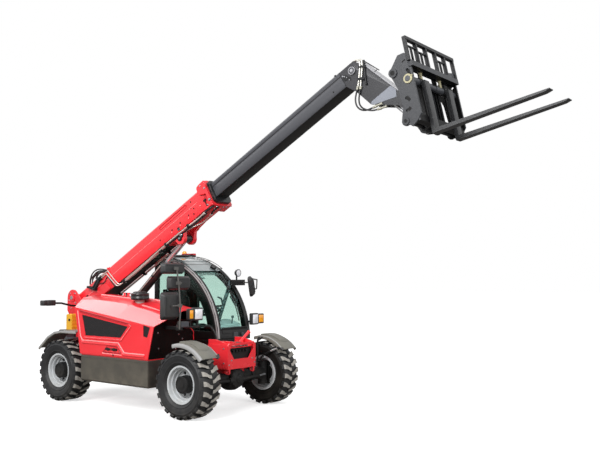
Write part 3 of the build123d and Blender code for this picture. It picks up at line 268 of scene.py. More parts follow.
def piece(name, bm, body, slot, *surfaces, place=machine, edge=0.0, rows=2, crisp=38, stands_for=()):
    """Closes a mesh, turns its faces outwards, puts it in place and fixes it to its body."""
    bmesh.ops.remove_doubles(bm, verts=bm.verts, dist=weld_gap)
    if place is not None:
        bmesh.ops.transform(bm, matrix=place, verts=bm.verts)
    bmesh.ops.recalc_face_normals(bm, faces=bm.faces)
    mesh = bpy.data.meshes.new(name)
    bm.to_mesh(mesh)
    bm.free()
    for surface in surfaces:
        mesh.materials.append(surface)
    mesh.polygons.foreach_set("use_smooth", [True] * len(mesh.polygons))
    mesh.set_sharp_from_angle(angle=radians(crisp))
    made = bpy.data.objects.new(name, mesh)
    bpy.context.scene.collection.objects.link(made)
    if edge:
        eased = made.modifiers.new("eased edges", "BEVEL")
        eased.width = edge
        eased.segments = rows
        eased.limit_method = "ANGLE"
        eased.angle_limit = radians(40)
        eased.harden_normals = True
    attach(made, body)
    for stood in stands_for:
        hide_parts(stood)
    return made


def lathe(bm, profile, place=Matrix.Identity(4), steps=56, paint=0):
    """Turns a line of (radius, height) points about the upright axis of a place."""
    before = set(bm.faces)
    verts = [bm.verts.new(place @ Vector((r, 0, h))) for r, h in profile]
    edges = [bm.edges.new(pair) for pair in zip(verts, verts[1:])]
    bmesh.ops.spin(bm, geom=verts + edges, cent=place.translation, axis=place.to_3x3() @ Vector((0, 0, 1)),
                   angle=tau, steps=steps, use_merge=True)
    for face in set(bm.faces) - before:
        face.material_index = paint


wheel_turn = Matrix.Rotation(-pi / 2, 4, "X")          # upright axis laid along the axle, outer side up
carcass = [(0.2053, 0.1167), (0.232, 0.1167), (0.24, 0.128), (0.262, 0.14), (0.266, 0.1455), (0.271, 0.1455),
           (0.275, 0.143), (0.3, 0.1515), (0.322, 0.154), (0.336, 0.1535), (0.339, 0.155), (0.344, 0.155),
           (0.347, 0.152), (0.362, 0.147), (0.376, 0.139), (0.385, 0.126), (0.3905, 0.09), (0.3925, 0.045),
           (0.393, 0.0)]
carcass = carcass + [(r, -h) for r, h in reversed(carcass[:-1])]
carcass += [(0.2053, -0.0927), (0.24, -0.0927), (0.3, -0.117), (0.352, -0.119), (0.38, -0.103),
            (0.38, 0.103), (0.352, 0.119), (0.3, 0.117), (0.24, 0.0927), (0.2053, 0.0927), carcass[0]]
# along the bar: foot (radius, offset), top (radius, offset), shift round the tread, half width
bar_line = (((0.388, 0.002), (0.4128, 0.004), 0.0, 0.0175), ((0.388, 0.04), (0.4128, 0.04), 0.006, 0.02),
            ((0.388, 0.075), (0.4126, 0.075), 0.028, 0.023), ((0.384, 0.112), (0.412, 0.114), 0.042, 0.027),
            ((0.376, 0.134), (0.403, 0.143), 0.047, 0.0295), ((0.362, 0.143), (0.376, 0.1535), 0.05, 0.029))
bars_round, tread_r = 22, 0.4
tyre_wall = finish("tyre wall", tone(25, 26, 29), 0.5, drifting=0.25, size=9, grain=0.25, grain_size=90,
                   bump=0.0015, dusty=0.18, head=0.9, dust_tone=(110, 106, 98), dust_size=14, shine=0.4)
tyre_bars_dust_and_highlight = finish("tyre bars", tone(136, 132, 126), 0.7, drifting=0.5, size=30, grain=0.4, grain_size=120,
                   bump=0.002, dusty=0.95, head=1.3, dust_tone=(204, 200, 192), dust_size=22)
tyre_inner_shade = finish("tyre inner wall", tone(12, 11, 12), 0.6, drifting=0.3, size=9, dusty=0.06, shine=0.15)


def tread_bar(bm, turn, side):
    """One bar, drawn out row by row along the tread and over the shoulder."""
    face = None
    for row, (foot, top, shift, half) in enumerate(bar_line):
        corners = []
        for (radius, offset), width in ((foot, -half * 1.2), (foot, half * 1.2), (top, half), (top, -half)):
            angle = turn + (width - shift) / tread_r
            corners.append(Vector((radius * cos(angle), radius * sin(angle), side * offset)))
        if face is None:
            face = bm.faces.new([bm.verts.new(corner) for corner in corners])
        else:
            drawn = bmesh.ops.extrude_face_region(bm, geom=[face])["geom"]
            face = next(part for part in drawn if isinstance(part, bmesh.types.BMFace))
            for vert, corner in zip(face.verts, corners):
                vert.co = corner
            # the top faces of the bar take the pale surface: dust and a painted highlight
            for beside in face.edges[2].link_faces:
                beside.material_index = 1 if row < len(bar_line) - 1 else 0
            face.material_index = 0


for name in wheel_names:
    hub = Vector(joints["spin_" + name]["pos_m"])
    outward = 1 if hub.y > 0 else -1
    bm = bmesh.new()
    lathe(bm, carcass, steps=92)
    # faces on the tyre's inboard side take a near-black surface: painted shade
    for face in bm.faces:
        if face.calc_center_median().z < -0.11:
            face.material_index = 2
    for k in range(bars_round):
        tread_bar(bm, tau * k / bars_round, 1)
        tread_bar(bm, tau * (k + 0.5) / bars_round, -1)
    stand = Matrix.Translation(hub) @ Matrix.Scale(outward, 4, (0, 1, 0)) @ wheel_turn
    piece("tyre_" + name + "_rubber", bm, "wheel_" + name, "tyre_rubber", tyre_wall, tyre_bars_dust_and_highlight, tyre_inner_shade,
          place=stand, crisp=30, stands_for=["tyre_" + name])

# ---- rims and hubs ---------------------------------------------------------------------------
# Deep pressed-steel rims in pale grey, bolted by eight nuts to the black cast drum of the
# wheel-end gears, which carries a ribbed cap with its own ring of bolts.
rim_profile = [(0.2, -0.124), (0.2275, -0.1235), (0.228, -0.119), (0.224, -0.117), (0.2055, -0.1165),
               (0.2045, -0.06), (0.18, -0.045), (0.18, 0.015), (0.198, 0.035), (0.2045, 0.052),
               (0.2048, 0.1165), (0.224, 0.117), (0.228, 0.119), (0.2275, 0.1235), (0.222, 0.1238),
               (0.2065, 0.1195), (0.2035, 0.112), (0.201, 0.085), (0.1985, 0.08), (0.186, 0.078),
               (0.183, 0.072), (0.181, 0.04), (0.178, 0.036), (0.166, 0.034), (0.163, 0.028), (0.162, 0.004),
               (0.152, -0.002), (0.108, -0.004), (0.104, -0.004), (0.104, -0.032), (0.15, -0.03),
               (0.174, -0.034), (0.174, -0.05), (0.1985, -0.062), (0.2, -0.124)]
drum_profile = [(0.0, 0.116), (0.038, 0.116), (0.044, 0.115), (0.046, 0.11), (0.074, 0.109), (0.078, 0.112),
                (0.092, 0.112), (0.1, 0.108), (0.104, 0.1), (0.1045, 0.05), (0.1075, 0.048), (0.1078, 0.01),
                (0.1045, 0.008), (0.104, -0.032), (0.056, -0.032), (0.056, 0.046), (0.0, 0.046)]
rim_steel = finish("pale rim paint", tone(196, 200, 203), 0.42, drifting=0.18, size=10, dusty=0.35, head=0.8,
                   dust_size=16, bump=0.0006)
cast_black = finish("black cast iron", tone(21, 22, 24), 0.55, drifting=0.3, size=14, grain=0.3,
                    grain_size=160, bump=0.0022, dusty=0.16, head=1.0, dust_tone=(110, 104, 94), shine=0.25)
bright_steel = finish("zinc plated steel", tone(178, 180, 184), 0.3, metal=0.9, drifting=0.3, size=60,
                      dusty=0.1)


def painted(verts, paint):
    """Gives the faces round some vertices one of their piece's surfaces."""
    for face in {face for vert in verts for face in vert.link_faces}:
        face.material_index = paint


def rod(bm, start, end, radius, sides=20, tip=None, paint=0):
    """Round bar between two points, tapered to a tip radius where one is given."""
    start, end = Vector(start), Vector(end)
    place = Matrix.Translation((start + end) / 2) @ (end - start).to_track_quat("Z", "Y").to_matrix().to_4x4()
    made = bmesh.ops.create_cone(bm, cap_ends=True, segments=sides, radius1=radius,
                                 radius2=radius if tip is None else tip, depth=(end - start).length,
                                 matrix=place)
    painted(made["verts"], paint)


def bolt(bm, foot, direction, size=0.012, paint=0):
    """Hexagon bolt head on its washer."""
    foot, direction = Vector(foot), Vector(direction).normalized()
    rod(bm, foot - direction * 0.004, foot + direction * size * 0.22, size * 1.25, 16, paint=paint)
    rod(bm, foot, foot + direction * size * 0.95, size, 6, tip=size * 0.96, paint=paint)


for name in wheel_names:
    hub = Vector(joints["spin_" + name]["pos_m"])
    stand = Matrix.Translation(hub) @ Matrix.Scale(1 if hub.y > 0 else -1, 4, (0, 1, 0)) @ wheel_turn
    bm = bmesh.new()
    lathe(bm, rim_profile, steps=72)
    rod(bm, (0.176, 0, 0.03), (0.166, 0, 0.078), 0.006, 10)
    piece("rim_" + name + "_steel", bm, "wheel_" + name, "rim_paint", rim_steel, place=stand, crisp=30,
          stands_for=["rim_" + name])
    bm = bmesh.new()
    lathe(bm, drum_profile, steps=48)
    for k in range(8):
        turn = tau * (k + 0.5) / 8
        foot = Vector((0.137 * cos(turn), 0.137 * sin(turn), -0.003))
        bolt(bm, foot, (0, 0, 1), 0.0145, paint=0)
        rod(bm, foot, foot + Vector((0, 0, 0.03)), 0.007, 10, paint=1)
    for k in range(10):
        turn = tau * k / 10
        bolt(bm, (0.085 * cos(turn), 0.085 * sin(turn), 0.1115), (0, 0, 1), 0.006, paint=0)
    piece("hub_" + name, bm, "wheel_" + name, "axle_iron", cast_black, bright_steel, place=stand, crisp=30)

# ---- axles and knuckles ----------------------------------------------------------------------
# Black cast axles with a bolted gear case in the middle, and the swivelling ends that carry
# the wheels. The castings keep their rough sand skin under the paint.


def dressed(name, body, slot, surface, edge=0.003, rows=2, made_name=None):
    """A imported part's own shape with its sharp edges eased, standing in for it."""
    bm = bmesh.new()
    bm.from_mesh(frame["nodes"][name].data)
    bmesh.ops.remove_doubles(bm, verts=bm.verts, dist=weld_gap)
    bmesh.ops.dissolve_limit(bm, angle_limit=radians(1.0), verts=bm.verts, edges=bm.edges)
    return piece(made_name or name + "_skin", bm, body, slot, surface, place=None, edge=edge, rows=rows,
                 stands_for=[name])


def block(bm, low, high, turn=None, paint=0):
    """Rectangular block between two corners, turned about its middle where a turn is given."""
    low, high = Vector(low), Vector(high)
    size = Matrix.Diagonal((*(high - low), 1))
    place = Matrix.Translation((low + high) / 2) @ (turn or Matrix.Identity(4)) @ size
    painted(bmesh.ops.create_cube(bm, size=1.0, matrix=place)["verts"], paint)


for end, sign in (("front", 1), ("rear", -1)):
    dressed(end + "_axle", "chassis", "axle_iron", cast_black, edge=0.006)
    centre = Vector((joints[f"steer_{end}_left"]["pos_m"][0], 0, joints[f"steer_{end}_left"]["pos_m"][2]))
    bm = bmesh.new()
    face_out = Matrix.Translation(centre) @ Matrix.Rotation(sign * pi / 2, 4, "Y")
    lathe(bm, [(0.0, 0.176), (0.03, 0.176), (0.036, 0.168), (0.055, 0.164), (0.062, 0.15), (0.118, 0.132),
               (0.122, 0.112)], place=face_out, steps=32)
    for k in range(10):
        turn = tau * k / 10
        foot = face_out @ Vector((0.106 * cos(turn), 0.106 * sin(turn), 0.136))
        bolt(bm, foot, (sign, 0, 0), 0.008)
    for y in (-0.34, 0.34):
        rod(bm, centre + Vector((0, y - 0.012, 0)), centre + Vector((0, y + 0.012, 0)), 0.092, 28)
        for k in range(8):
            turn = tau * (k + 0.5) / 8
            bolt(bm, centre + Vector((0.083 * cos(turn), y - 0.012, 0.083 * sin(turn))), (0, -1, 0), 0.006)
    piece(end + "_axle_cover", bm, "chassis", "axle_iron", cast_black, place=None, edge=0.001)
    bm = bmesh.new()
    for y in (-0.14, 0.14):
        rod(bm, centre + Vector((sign * 0.115, y, -0.02)), centre + Vector((sign * 0.115, y * 3.0, -0.01)),
            0.021, 16)
        rod(bm, centre + Vector((sign * 0.115, y * 3.0, -0.01)),
            centre + Vector((sign * 0.112, y * 3.95, 0.0)), 0.012, 12, paint=1)
    rod(bm, centre + Vector((sign * 0.115, -0.15, -0.02)), centre + Vector((sign * 0.115, 0.15, -0.02)),
        0.034, 24)
    piece(end + "_steering_cylinder", bm, "chassis", "axle_iron", cast_black, bright_steel, place=None,
          edge=0.001)
for name in wheel_names:
    dressed("knuckle_" + name, "knuckle_" + name, "axle_iron", cast_black, edge=0.005)

# ---- frame, tower and nose plate -------------------------------------------------------------
# Welded steel plate in the maker's red: side plates with cross members, the tower that holds
# the boom's pin, and the towing nose with a window for the hydraulic couplings. All gloss enamel.
red_enamel = finish("red enamel", tone(240, 48, 57), 0.26, coat=0.25, drifting=0.05, size=1.2, grain=0.03,
                    bump=0.00025, dusty=0.1, head=0.9, dust_tone=(205, 120, 110))
dark_enamel = finish("charcoal enamel", tone(66, 68, 74), 0.42, drifting=0.12, size=2.0, grain=0.08,
                     bump=0.0006, dusty=0.2)
black_steel = finish("black steel", tone(17, 18, 20), 0.42, drifting=0.2, size=5, grain=0.1, bump=0.0006,
                     dusty=0.1, shine=0.3)
hole_black = finish("unlit opening", tone(9, 9, 10), 0.8, dusty=0.0)


def outline(bm, points, y0, y1, paint=0):
    """Side view of (x, z) points drawn out to a plate from y0 to y1."""
    face = bm.faces.new([bm.verts.new((x, y0, z)) for x, z in points])
    drawn = bmesh.ops.extrude_face_region(bm, geom=[face])["geom"]
    verts = [part for part in drawn if isinstance(part, bmesh.types.BMVert)]
    bmesh.ops.translate(bm, verts=verts, vec=(0, y1 - y0, 0))
    for side in {side for vert in verts for side in vert.link_faces} | {face}:
        side.material_index = paint


dressed("chassis_frame", "chassis", "red_paint", red_enamel, edge=0.003)
dressed("boom_tower", "chassis", "red_paint", red_enamel, edge=0.003)
dressed("frame_nose", "chassis", "red_paint", red_enamel, edge=0.005, rows=3)
tower_x, tower_z = boom_pin.x - mid_x, boom_pin.z
bm = bmesh.new()
for side in (-1, 1):
    y = side * 0.2243
    rod(bm, (tower_x, y, tower_z), (tower_x, y + side * 0.016, tower_z), 0.06, 32)
    rod(bm, (tower_x, y, tower_z), (tower_x, y + side * 0.022, tower_z), 0.03, 24, paint=1)
    for dx, dz in ((-0.062, 0.062), (0.052, 0.062), (-0.076, -0.04), (0.075, -0.075), (-0.02, -0.155),
                   (0.1, -0.19)):
        bolt(bm, (tower_x + dx, y, tower_z + dz), (0, side, 0), 0.01, paint=1)
piece("tower_pin_covers", bm, "chassis", "red_paint", red_enamel, bright_steel, edge=0.002)

nose_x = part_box("frame_nose")[1].x - mid_x
bm = bmesh.new()
block(bm, (nose_x - 0.065, -0.235, 0.6), (nose_x - 0.06, 0.235, 0.797))
for y in (-0.12, -0.06, 0.0, 0.06, 0.12):
    rod(bm, (nose_x - 0.06, y, 0.76), (nose_x - 0.03, y, 0.76), 0.015, 16, paint=1)
    rod(bm, (nose_x - 0.11, y, 0.822), (nose_x - 0.02, y + 0.01, 0.82), 0.0075, 12, paint=2)
piece("nose_couplings", bm, "chassis", "axle_iron", hole_black, cast_black, bright_steel, edge=0.001)
bm = bmesh.new()
for side in (-1, 1):
    for y, z in ((0.195, 0.655), (0.24, 0.6)):
        bolt(bm, (nose_x, side * y, z), (1, 0, 0), 0.0085)
    for x, z in ((nose_x - 0.07, 0.8), (nose_x - 0.07, 0.62), (nose_x - 0.29, 0.8), (nose_x - 0.29, 0.62)):
        bolt(bm, (x, side * 0.262, z), (0, side, 0), 0.009)
piece("nose_bolts", bm, "chassis", "zinc", bright_steel)
bm = bmesh.new()
shoulder = [(nose_x - 0.02, 0.86), (nose_x - 0.2, 0.905), (nose_x - 0.34, 0.905), (nose_x - 0.34, 0.84),
            (nose_x - 0.02, 0.84)]
for y0, y1 in ((-0.255, -0.235), (0.235, 0.255)):
    outline(bm, shoulder, y0, y1)
rod(bm, (1.2, 0.325, 0.965), (1.2, 0.15, 0.842), 0.021, 20)
rod(bm, (1.2, 0.335, 0.972), (1.2, 0.32, 0.961), 0.024, 20)
block(bm, (1.155, 0.13, 0.812), (1.245, 0.172, 0.862))
block(bm, (1.16, -0.155, 0.812), (1.3, -0.1, 0.88))
block(bm, (1.16, -0.06, 0.812), (1.3, -0.02, 0.868))
piece("nose_brackets", bm, "chassis", "red_paint", red_enamel, edge=0.004)
bm = bmesh.new()
for y in (-0.075, -0.035, 0.02, 0.06, 0.1):
    rod(bm, (1.13, y, 0.845), (1.32, y + 0.012, 0.838), 0.013, 14)
    rod(bm, (1.32, y + 0.012, 0.838), (1.345, y + 0.014, 0.836), 0.018, 8, paint=1)
piece("nose_hose_bank", bm, "chassis", "hose_rubber", hose_rubber, bright_steel)

# ---- rear weight -----------------------------------------------------------------------------
# Cast iron block between the rear wheels, painted charcoal. It is cored for the drawbar slot,
# and a zinc plated pin with a pull ring drops through it from above.
dressed("counterweight", "chassis", "dark_paint", dark_enamel, edge=0.008, rows=3)
pin_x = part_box("counterweight")[0].x - mid_x + 0.085
bm = bmesh.new()
rod(bm, (pin_x, 0, 0.905), (pin_x, 0, 0.925), 0.026, 24)
rod(bm, (pin_x, -0.045, 0.94), (pin_x, 0.045, 0.94), 0.008, 12)
for y in (-0.042, 0.042):
    rod(bm, (pin_x, y, 0.922), (pin_x, y, 0.942), 0.008, 12)
piece("drawbar_pin", bm, "chassis", "zinc", bright_steel, edge=0.0015)

# ---- fenders ---------------------------------------------------------------------------------
# Moulded grey-brown plastic mudguards. The front pair steers with the wheels and has a raised
# middle and a rolled lip painted pale as a highlight; the rear pair is bolted to the frame, flat
# on top, with a pale painted highlight band along its outer lip.
fender_skin = finish("fender plastic", tone(112, 111, 104), 0.5, drifting=0.12, size=8, grain=0.12,
                     grain_size=500, bump=0.0008, dusty=0.3, head=1.4)
smooth_black = finish("moulded black plastic", tone(26, 27, 29), 0.28, drifting=0.2, size=12, grain=0.1,
                      grain_size=400, dusty=0.1)
fender_highlight_grey = finish("fender lip", tone(158, 158, 158), 0.42, drifting=0.1, size=8, grain=0.1, grain_size=500,
                    dusty=0.15, head=1.4)
# section across the front fender: offset from the wheel's middle, radius
fender_section = [(0.905, 0.44), (0.905, 0.47), (0.897, 0.484), (0.88, 0.4885), (0.85, 0.4885),
                  (0.838, 0.494), (0.668, 0.494), (0.656, 0.4885), (0.612, 0.4885), (0.597, 0.484),
                  (0.59, 0.446)]
axle_x, axle_z = joints["steer_front_left"]["pos_m"][0] - mid_x, joints["steer_front_left"]["pos_m"][2]


def round_wheel(radius, angle):
    """Point (x, z) round the front wheel's axle, from straight ahead up and over."""
    return axle_x + radius * cos(radians(angle)), axle_z + radius * sin(radians(angle))


fender_start, fender_sweep = 43, 62                    # degrees up from straight ahead
for side, sign in (("left", 1), ("right", -1)):
    name = "fender_front_" + side
    bm = bmesh.new()
    for points, paint in ((fender_section, 0), (fender_section[:4], 1), (fender_section[-3:], 1)):
        verts = []
        for y, r in points:
            x, z = round_wheel(r + 0.0015 * paint, fender_start)
            verts.append(bm.verts.new((x, sign * (y + 0.0015 * paint), z)))
        edges = [bm.edges.new(pair) for pair in zip(verts, verts[1:])]
        before = set(bm.faces)
        bmesh.ops.spin(bm, geom=verts + edges, cent=(axle_x, 0, axle_z), axis=(0, -1, 0),
                       angle=radians(fender_sweep), steps=20)
        for face in set(bm.faces) - before:
            face.material_index = paint
    ahead, flap_end = Vector((1, 0, 0)), radians(fender_start + 0.5)
    flap = [v for v in bm.verts if (v.co - Vector((axle_x, v.co.y, axle_z))).angle(ahead) < flap_end]
    bmesh.ops.translate(bm, verts=flap, vec=(0.012, 0, -0.01))
    guard = piece(name + "_skin", bm, "knuckle_front_" + side, "fender_plastic", fender_skin, fender_highlight_grey,
                  stands_for=[name])
    wall = guard.modifiers.new("wall", "SOLIDIFY")
    wall.thickness = 0.005
    wall.offset = -1
    soft = guard.modifiers.new("eased edges", "BEVEL")
    soft.width = 0.0015
    soft.limit_method = "ANGLE"
    bm = bmesh.new()
    arm_top = axle_z + 0.476
    elbow = (axle_x - 0.03, sign * 0.566, arm_top - 0.05)
    rod(bm, (axle_x - 0.03, sign * 0.566, axle_z + 0.145), elbow, 0.013, 16)
    for dx in (-0.03, 0.03):
        bend = (axle_x + dx, sign * 0.6, arm_top - 0.006)
        rod(bm, elbow, bend, 0.013, 16)
        rod(bm, bend, (axle_x + dx * 2, sign * 0.86, arm_top - 0.002), 0.013, 16)
        for y in (0.7, 0.8):
            bolt(bm, (axle_x + dx * 2, sign * y, axle_z + 0.494), (0, 0, 1), 0.008, paint=1)
    stay = [(axle_x + dx, sign * 0.566, axle_z + dz)
            for dx, dz in ((0.02, 0.145), (0.028, 0.205), (0.077, 0.24), (0.2, 0.302), (0.312, 0.344))]
    # the outer end of the stay is painted pale: a painted highlight
    for start, end, paint in zip(stay, stay[1:], (0, 0, 0, 2)):
        rod(bm, start, end, 0.012, 16, paint=paint)
    rod(bm, (axle_x + 0.312, sign * 0.556, axle_z + 0.344), (axle_x + 0.312, sign * 0.592, axle_z + 0.344),
        0.017, 16)
    low_y, high_y = sorted((sign * 0.573, sign * 0.66))
    block(bm, (axle_x - 0.055, low_y, axle_z + 0.143), (axle_x + 0.055, high_y, axle_z + 0.157))
    piece("fender_arm_" + side, bm, "knuckle_front_" + side, "axle_iron", cast_black, bright_steel,
          fender_highlight_grey, edge=0.001)
    bm = bmesh.new()
    ring = [(0.488, 55), (0.508, 58)] + [(0.511, a) for a in range(62, 96, 4)] + [(0.508, 97), (0.488, 98)]
    low_y, high_y = sorted((sign * 0.672, sign * 0.834))
    outline(bm, [round_wheel(r, a) for r, a in ring], low_y, high_y)
    tip = [round_wheel(r, a) for r, a in ((0.468, 41.4), (0.494, 41.4), (0.492, 46), (0.468, 46))]
    outline(bm, tip, sign * 0.586, sign * 0.64, paint=1)
    piece("fender_pad_" + side, bm, "knuckle_front_" + side, "fender_plastic", fender_skin, smooth_black,
          edge=0.003)
    dressed("fender_rear_" + side, "chassis", "fender_plastic", fender_skin, edge=0.004, rows=3)
rear_x = joints["steer_rear_left"]["pos_m"][0] - mid_x
for side, sign in (("left", 1), ("right", -1)):
    bm = bmesh.new()
    edge_line = [(0.405, 0.129), (0.08, 0.129), (-0.07, 0.106), (-0.22, 0.036), (-0.42, -0.124)]
    top_line = [(rear_x + dx, 0.8265 + dz) for dx, dz in edge_line]
    lower = [(x, z - 0.026) for x, z in reversed(top_line)]
    # a pale band along the rear guard's outer lip: painted highlight
    outline(bm, top_line + lower, sign * 0.9055, sign * 0.8985)
    piece("fender_rear_lip_" + side, bm, "chassis", "fender_plastic", fender_highlight_grey, edge=0.002)
    bm = bmesh.new()
    for dx in (0.33, 0.12):
        for y in (0.63, 0.86):
            bolt(bm, (rear_x + dx, sign * y, 0.9555), (0, 0, 1), 0.009)
    piece("fender_rear_bolts_" + side, bm, "chassis", "zinc", bright_steel)

# ---- side tank -------------------------------------------------------------------------------
# Fuel and oil tank in folded grey-brown sheet below the engine. Its front end is a separate
# plate welded in, painted darker as shade, and a pressed seam runs along its side at the top
# and the bottom.
tank_sheet = finish("tank paint", tone(66, 63, 57), 0.55, drifting=0.1, size=3, grain=0.1, grain_size=420,
                    bump=0.0006, dusty=0.45, head=0.8)
tank_front_shade = finish("tank end paint", tone(48, 46, 44), 0.6, drifting=0.15, size=6, dusty=0.3)
dressed("side_tank", "chassis", "tank_paint", tank_sheet, edge=0.01, rows=3)
tank_low, tank_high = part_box("side_tank")
front, back = tank_high.x - mid_x, tank_low.x - mid_x
bm = bmesh.new()
block(bm, (front - 0.002, tank_low.y + 0.014, tank_low.z + 0.022),
      (front + 0.004, tank_high.y - 0.01, tank_high.z - 0.012))
piece("tank_front_end", bm, "chassis", "tank_paint", tank_front_shade, edge=0.002)
bm = bmesh.new()
for out, z0, z1 in ((0.0035, tank_high.z - 0.03, tank_high.z - 0.016),
                    (0.0025, tank_low.z + 0.026, tank_low.z + 0.034)):
    block(bm, (back + 0.012, tank_low.y - out, z0), (front - 0.012, tank_low.y + 0.004, z1))
piece("tank_seams", bm, "chassis", "tank_paint", tank_sheet, edge=0.002)

# ---- engine hood -----------------------------------------------------------------------------
# One-piece red hood with a wide sloping bevel, pressed lines round its mesh window traced in
# painted highlights and painted shade, a small vent, a recessed latch with a black twin handle
# under painted shade, and ridges along its top painted pale as highlights.
dressed("engine_hood", "hood", "red_paint", red_enamel, edge=0.01, rows=4)
hood_y = -0.9


def strip(bm, points, width, rise, y, paint=0, closed=False):
    """Rounded pressed line along (x, z) points on an upright side."""
    pairs = list(zip(points, points[1:] + points[:1])) if closed else list(zip(points, points[1:]))
    for (x0, z0), (x1, z1) in pairs:
        along = Vector((x1 - x0, 0, z1 - z0))
        middle = ((x0 + x1) / 2, y, (z0 + z1) / 2)
        laid = Matrix.Translation(middle) @ along.to_track_quat("Z", "X").to_matrix().to_4x4()
        size = Matrix.Diagonal((width / 2, rise, along.length + width * 0.3, 1))
        made = bmesh.ops.create_cone(bm, cap_ends=True, segments=12, radius1=1, radius2=1, depth=1,
                                     matrix=laid @ size)
        painted(made["verts"], paint)


woven_mesh, tree, shader = bare_surface("punched black mesh")
space = node(tree, "ShaderNodeTexCoord").outputs["Object"]
scaled = node(tree, "ShaderNodeMapping", Vector=space, Scale=(1.0, 0.0, 1.0))
holes = node(tree, "ShaderNodeTexVoronoi", {"feature": "F1"}, Vector=scaled.outputs[0], Scale=95.0,
             Randomness=0.0)
rims = node(tree, "ShaderNodeMapRange", Value=holes.outputs["Distance"], i1=0.34, i2=0.4)
shade = mixed(tree, rims.outputs["Result"], tone(8, 8, 9), tone(46, 44, 46))
relief = node(tree, "ShaderNodeBump", Strength=1.0, Distance=0.001, Height=rims.outputs["Result"])
tree.links.new(shade, shader.inputs["Base Color"])
tree.links.new(relief.outputs[0], shader.inputs["Normal"])
shader.inputs["Roughness"].default_value = 0.6
shader.inputs["Specular IOR Level"].default_value = 0.2
for name, corners in (("hood_mesh", ((-0.652, 1.187), (0.262, 1.062), (0.128, 0.918), (-0.574, 0.915))),
                      ("hood_vent", ((0.55, 1.091), (0.671, 1.067), (0.621, 0.941), (0.549, 0.956)))):
    bm = bmesh.new()
    bm.faces.new([bm.verts.new((x, hood_y + 0.0045, z)) for x, z in corners])
    piece(name, bm, "hood", "pad_plastic", woven_mesh)
# pale red for painted highlights along the pressed lines and ridges, dark red for painted shade
highlight_red = finish("rubbed bead red", tone(255, 150, 152), 0.3, coat=0.2, drifting=0.2, size=6, dusty=0.0)
shade_red = finish("folded edge red", tone(168, 14, 30), 0.35, drifting=0.1, dusty=0.0)
bm = bmesh.new()
strip(bm, [(-0.6, 0.884), (0.146, 0.886), (0.318, 1.058), (0.285, 1.09)], 0.026, 0.01, hood_y)
strip(bm, [(-0.655, 0.845), (-0.63, 0.822), (0.075, 0.82), (0.19, 0.708), (0.575, 0.706)], 0.03, 0.011,
      hood_y)
# pale red strips: painted highlights along the pressed lines
strip(bm, [(-0.742, 1.232), (-0.672, 0.905), (-0.632, 0.85), (0.088, 0.849), (0.204, 0.732), (0.575, 0.73)],
      0.017, 0.009, hood_y, 1)
strip(bm, [(0.15, 0.897), (0.313, 1.058)], 0.014, 0.012, hood_y, 1)
# dark red strips: painted shade along the folds and round the latch recess
strip(bm, [(-0.7, 1.236), (0.29, 1.098), (0.318, 1.066)], 0.02, 0.006, hood_y, 2)
strip(bm, [(-0.69, 1.214), (0.24, 1.085)], 0.01, 0.004, hood_y, 2)
strip(bm, [(-0.205, 0.722), (-0.105, 0.826), (0.035, 0.826), (0.132, 0.722), (-0.205, 0.722)], 0.014, 0.004,
      hood_y, 2)
strip(bm, [(-0.225, 0.704), (0.15, 0.7)], 0.012, 0.004, hood_y, 1)
piece("hood_pressings", bm, "hood", "red_paint", red_enamel, highlight_red, shade_red)
bm = bmesh.new()
for x in (-0.165, -0.045):
    block(bm, (x, hood_y - 0.006, 0.748), (x + 0.105, hood_y + 0.006, 0.778), paint=0)
    rod(bm, (x + 0.053, hood_y - 0.009, 0.763), (x + 0.053, hood_y + 0.004, 0.763), 0.022, 20, paint=0)
rod(bm, (-0.01, hood_y - 0.004, 0.694), (-0.01, hood_y + 0.003, 0.694), 0.013, 20, paint=0)
# dark red plate over the latch: painted shade of its recess
block(bm, (-0.095, hood_y - 0.002, 0.795), (0.02, hood_y + 0.006, 0.812), paint=1)
piece("hood_latch", bm, "hood", "pad_plastic", black_steel, shade_red, edge=0.0025)
bm = bmesh.new()
# ridges along the crown, all in pale red: painted highlights
for (x0, y0, z0), (x1, y1, z1), half in (((-0.78, -0.47, 1.433), (0.02, -0.47, 1.3835), 0.02),
                                         ((-0.2, -0.3, 1.407), (0.3, -0.3, 1.359), 0.018),
                                         ((0.22, -0.62, 1.32), (0.7, -0.6, 1.22), 0.018)):
    along = Vector((x1 - x0, y1 - y0, z1 - z0))
    middle = ((x0 + x1) / 2, (y0 + y1) / 2, (z0 + z1) / 2)
    place = Matrix.Translation(middle) @ along.to_track_quat("Y", "Z").to_matrix().to_4x4()
    bmesh.ops.create_cube(bm, size=1.0, matrix=place @ Matrix.Diagonal((half * 2, along.length, 0.018, 1)))
piece("hood_top_ridges", bm, "hood", "red_paint", highlight_red, edge=0.006, rows=3)

# ---- bulkhead, air cleaner, exhaust and chock ------------------------------------------------
# Sheet behind the hood painted near-black as shade, with bolts round its edge, the air cleaner's
# cap on its pale neck, the exhaust in its slotted shield, and the yellow wheel chock on the tower.


def bent_rod(bm, points, radius, sides):
    """Round bar that turns at each of its points."""
    for start, end in zip(points, points[1:]):
        rod(bm, start, end, radius, sides)


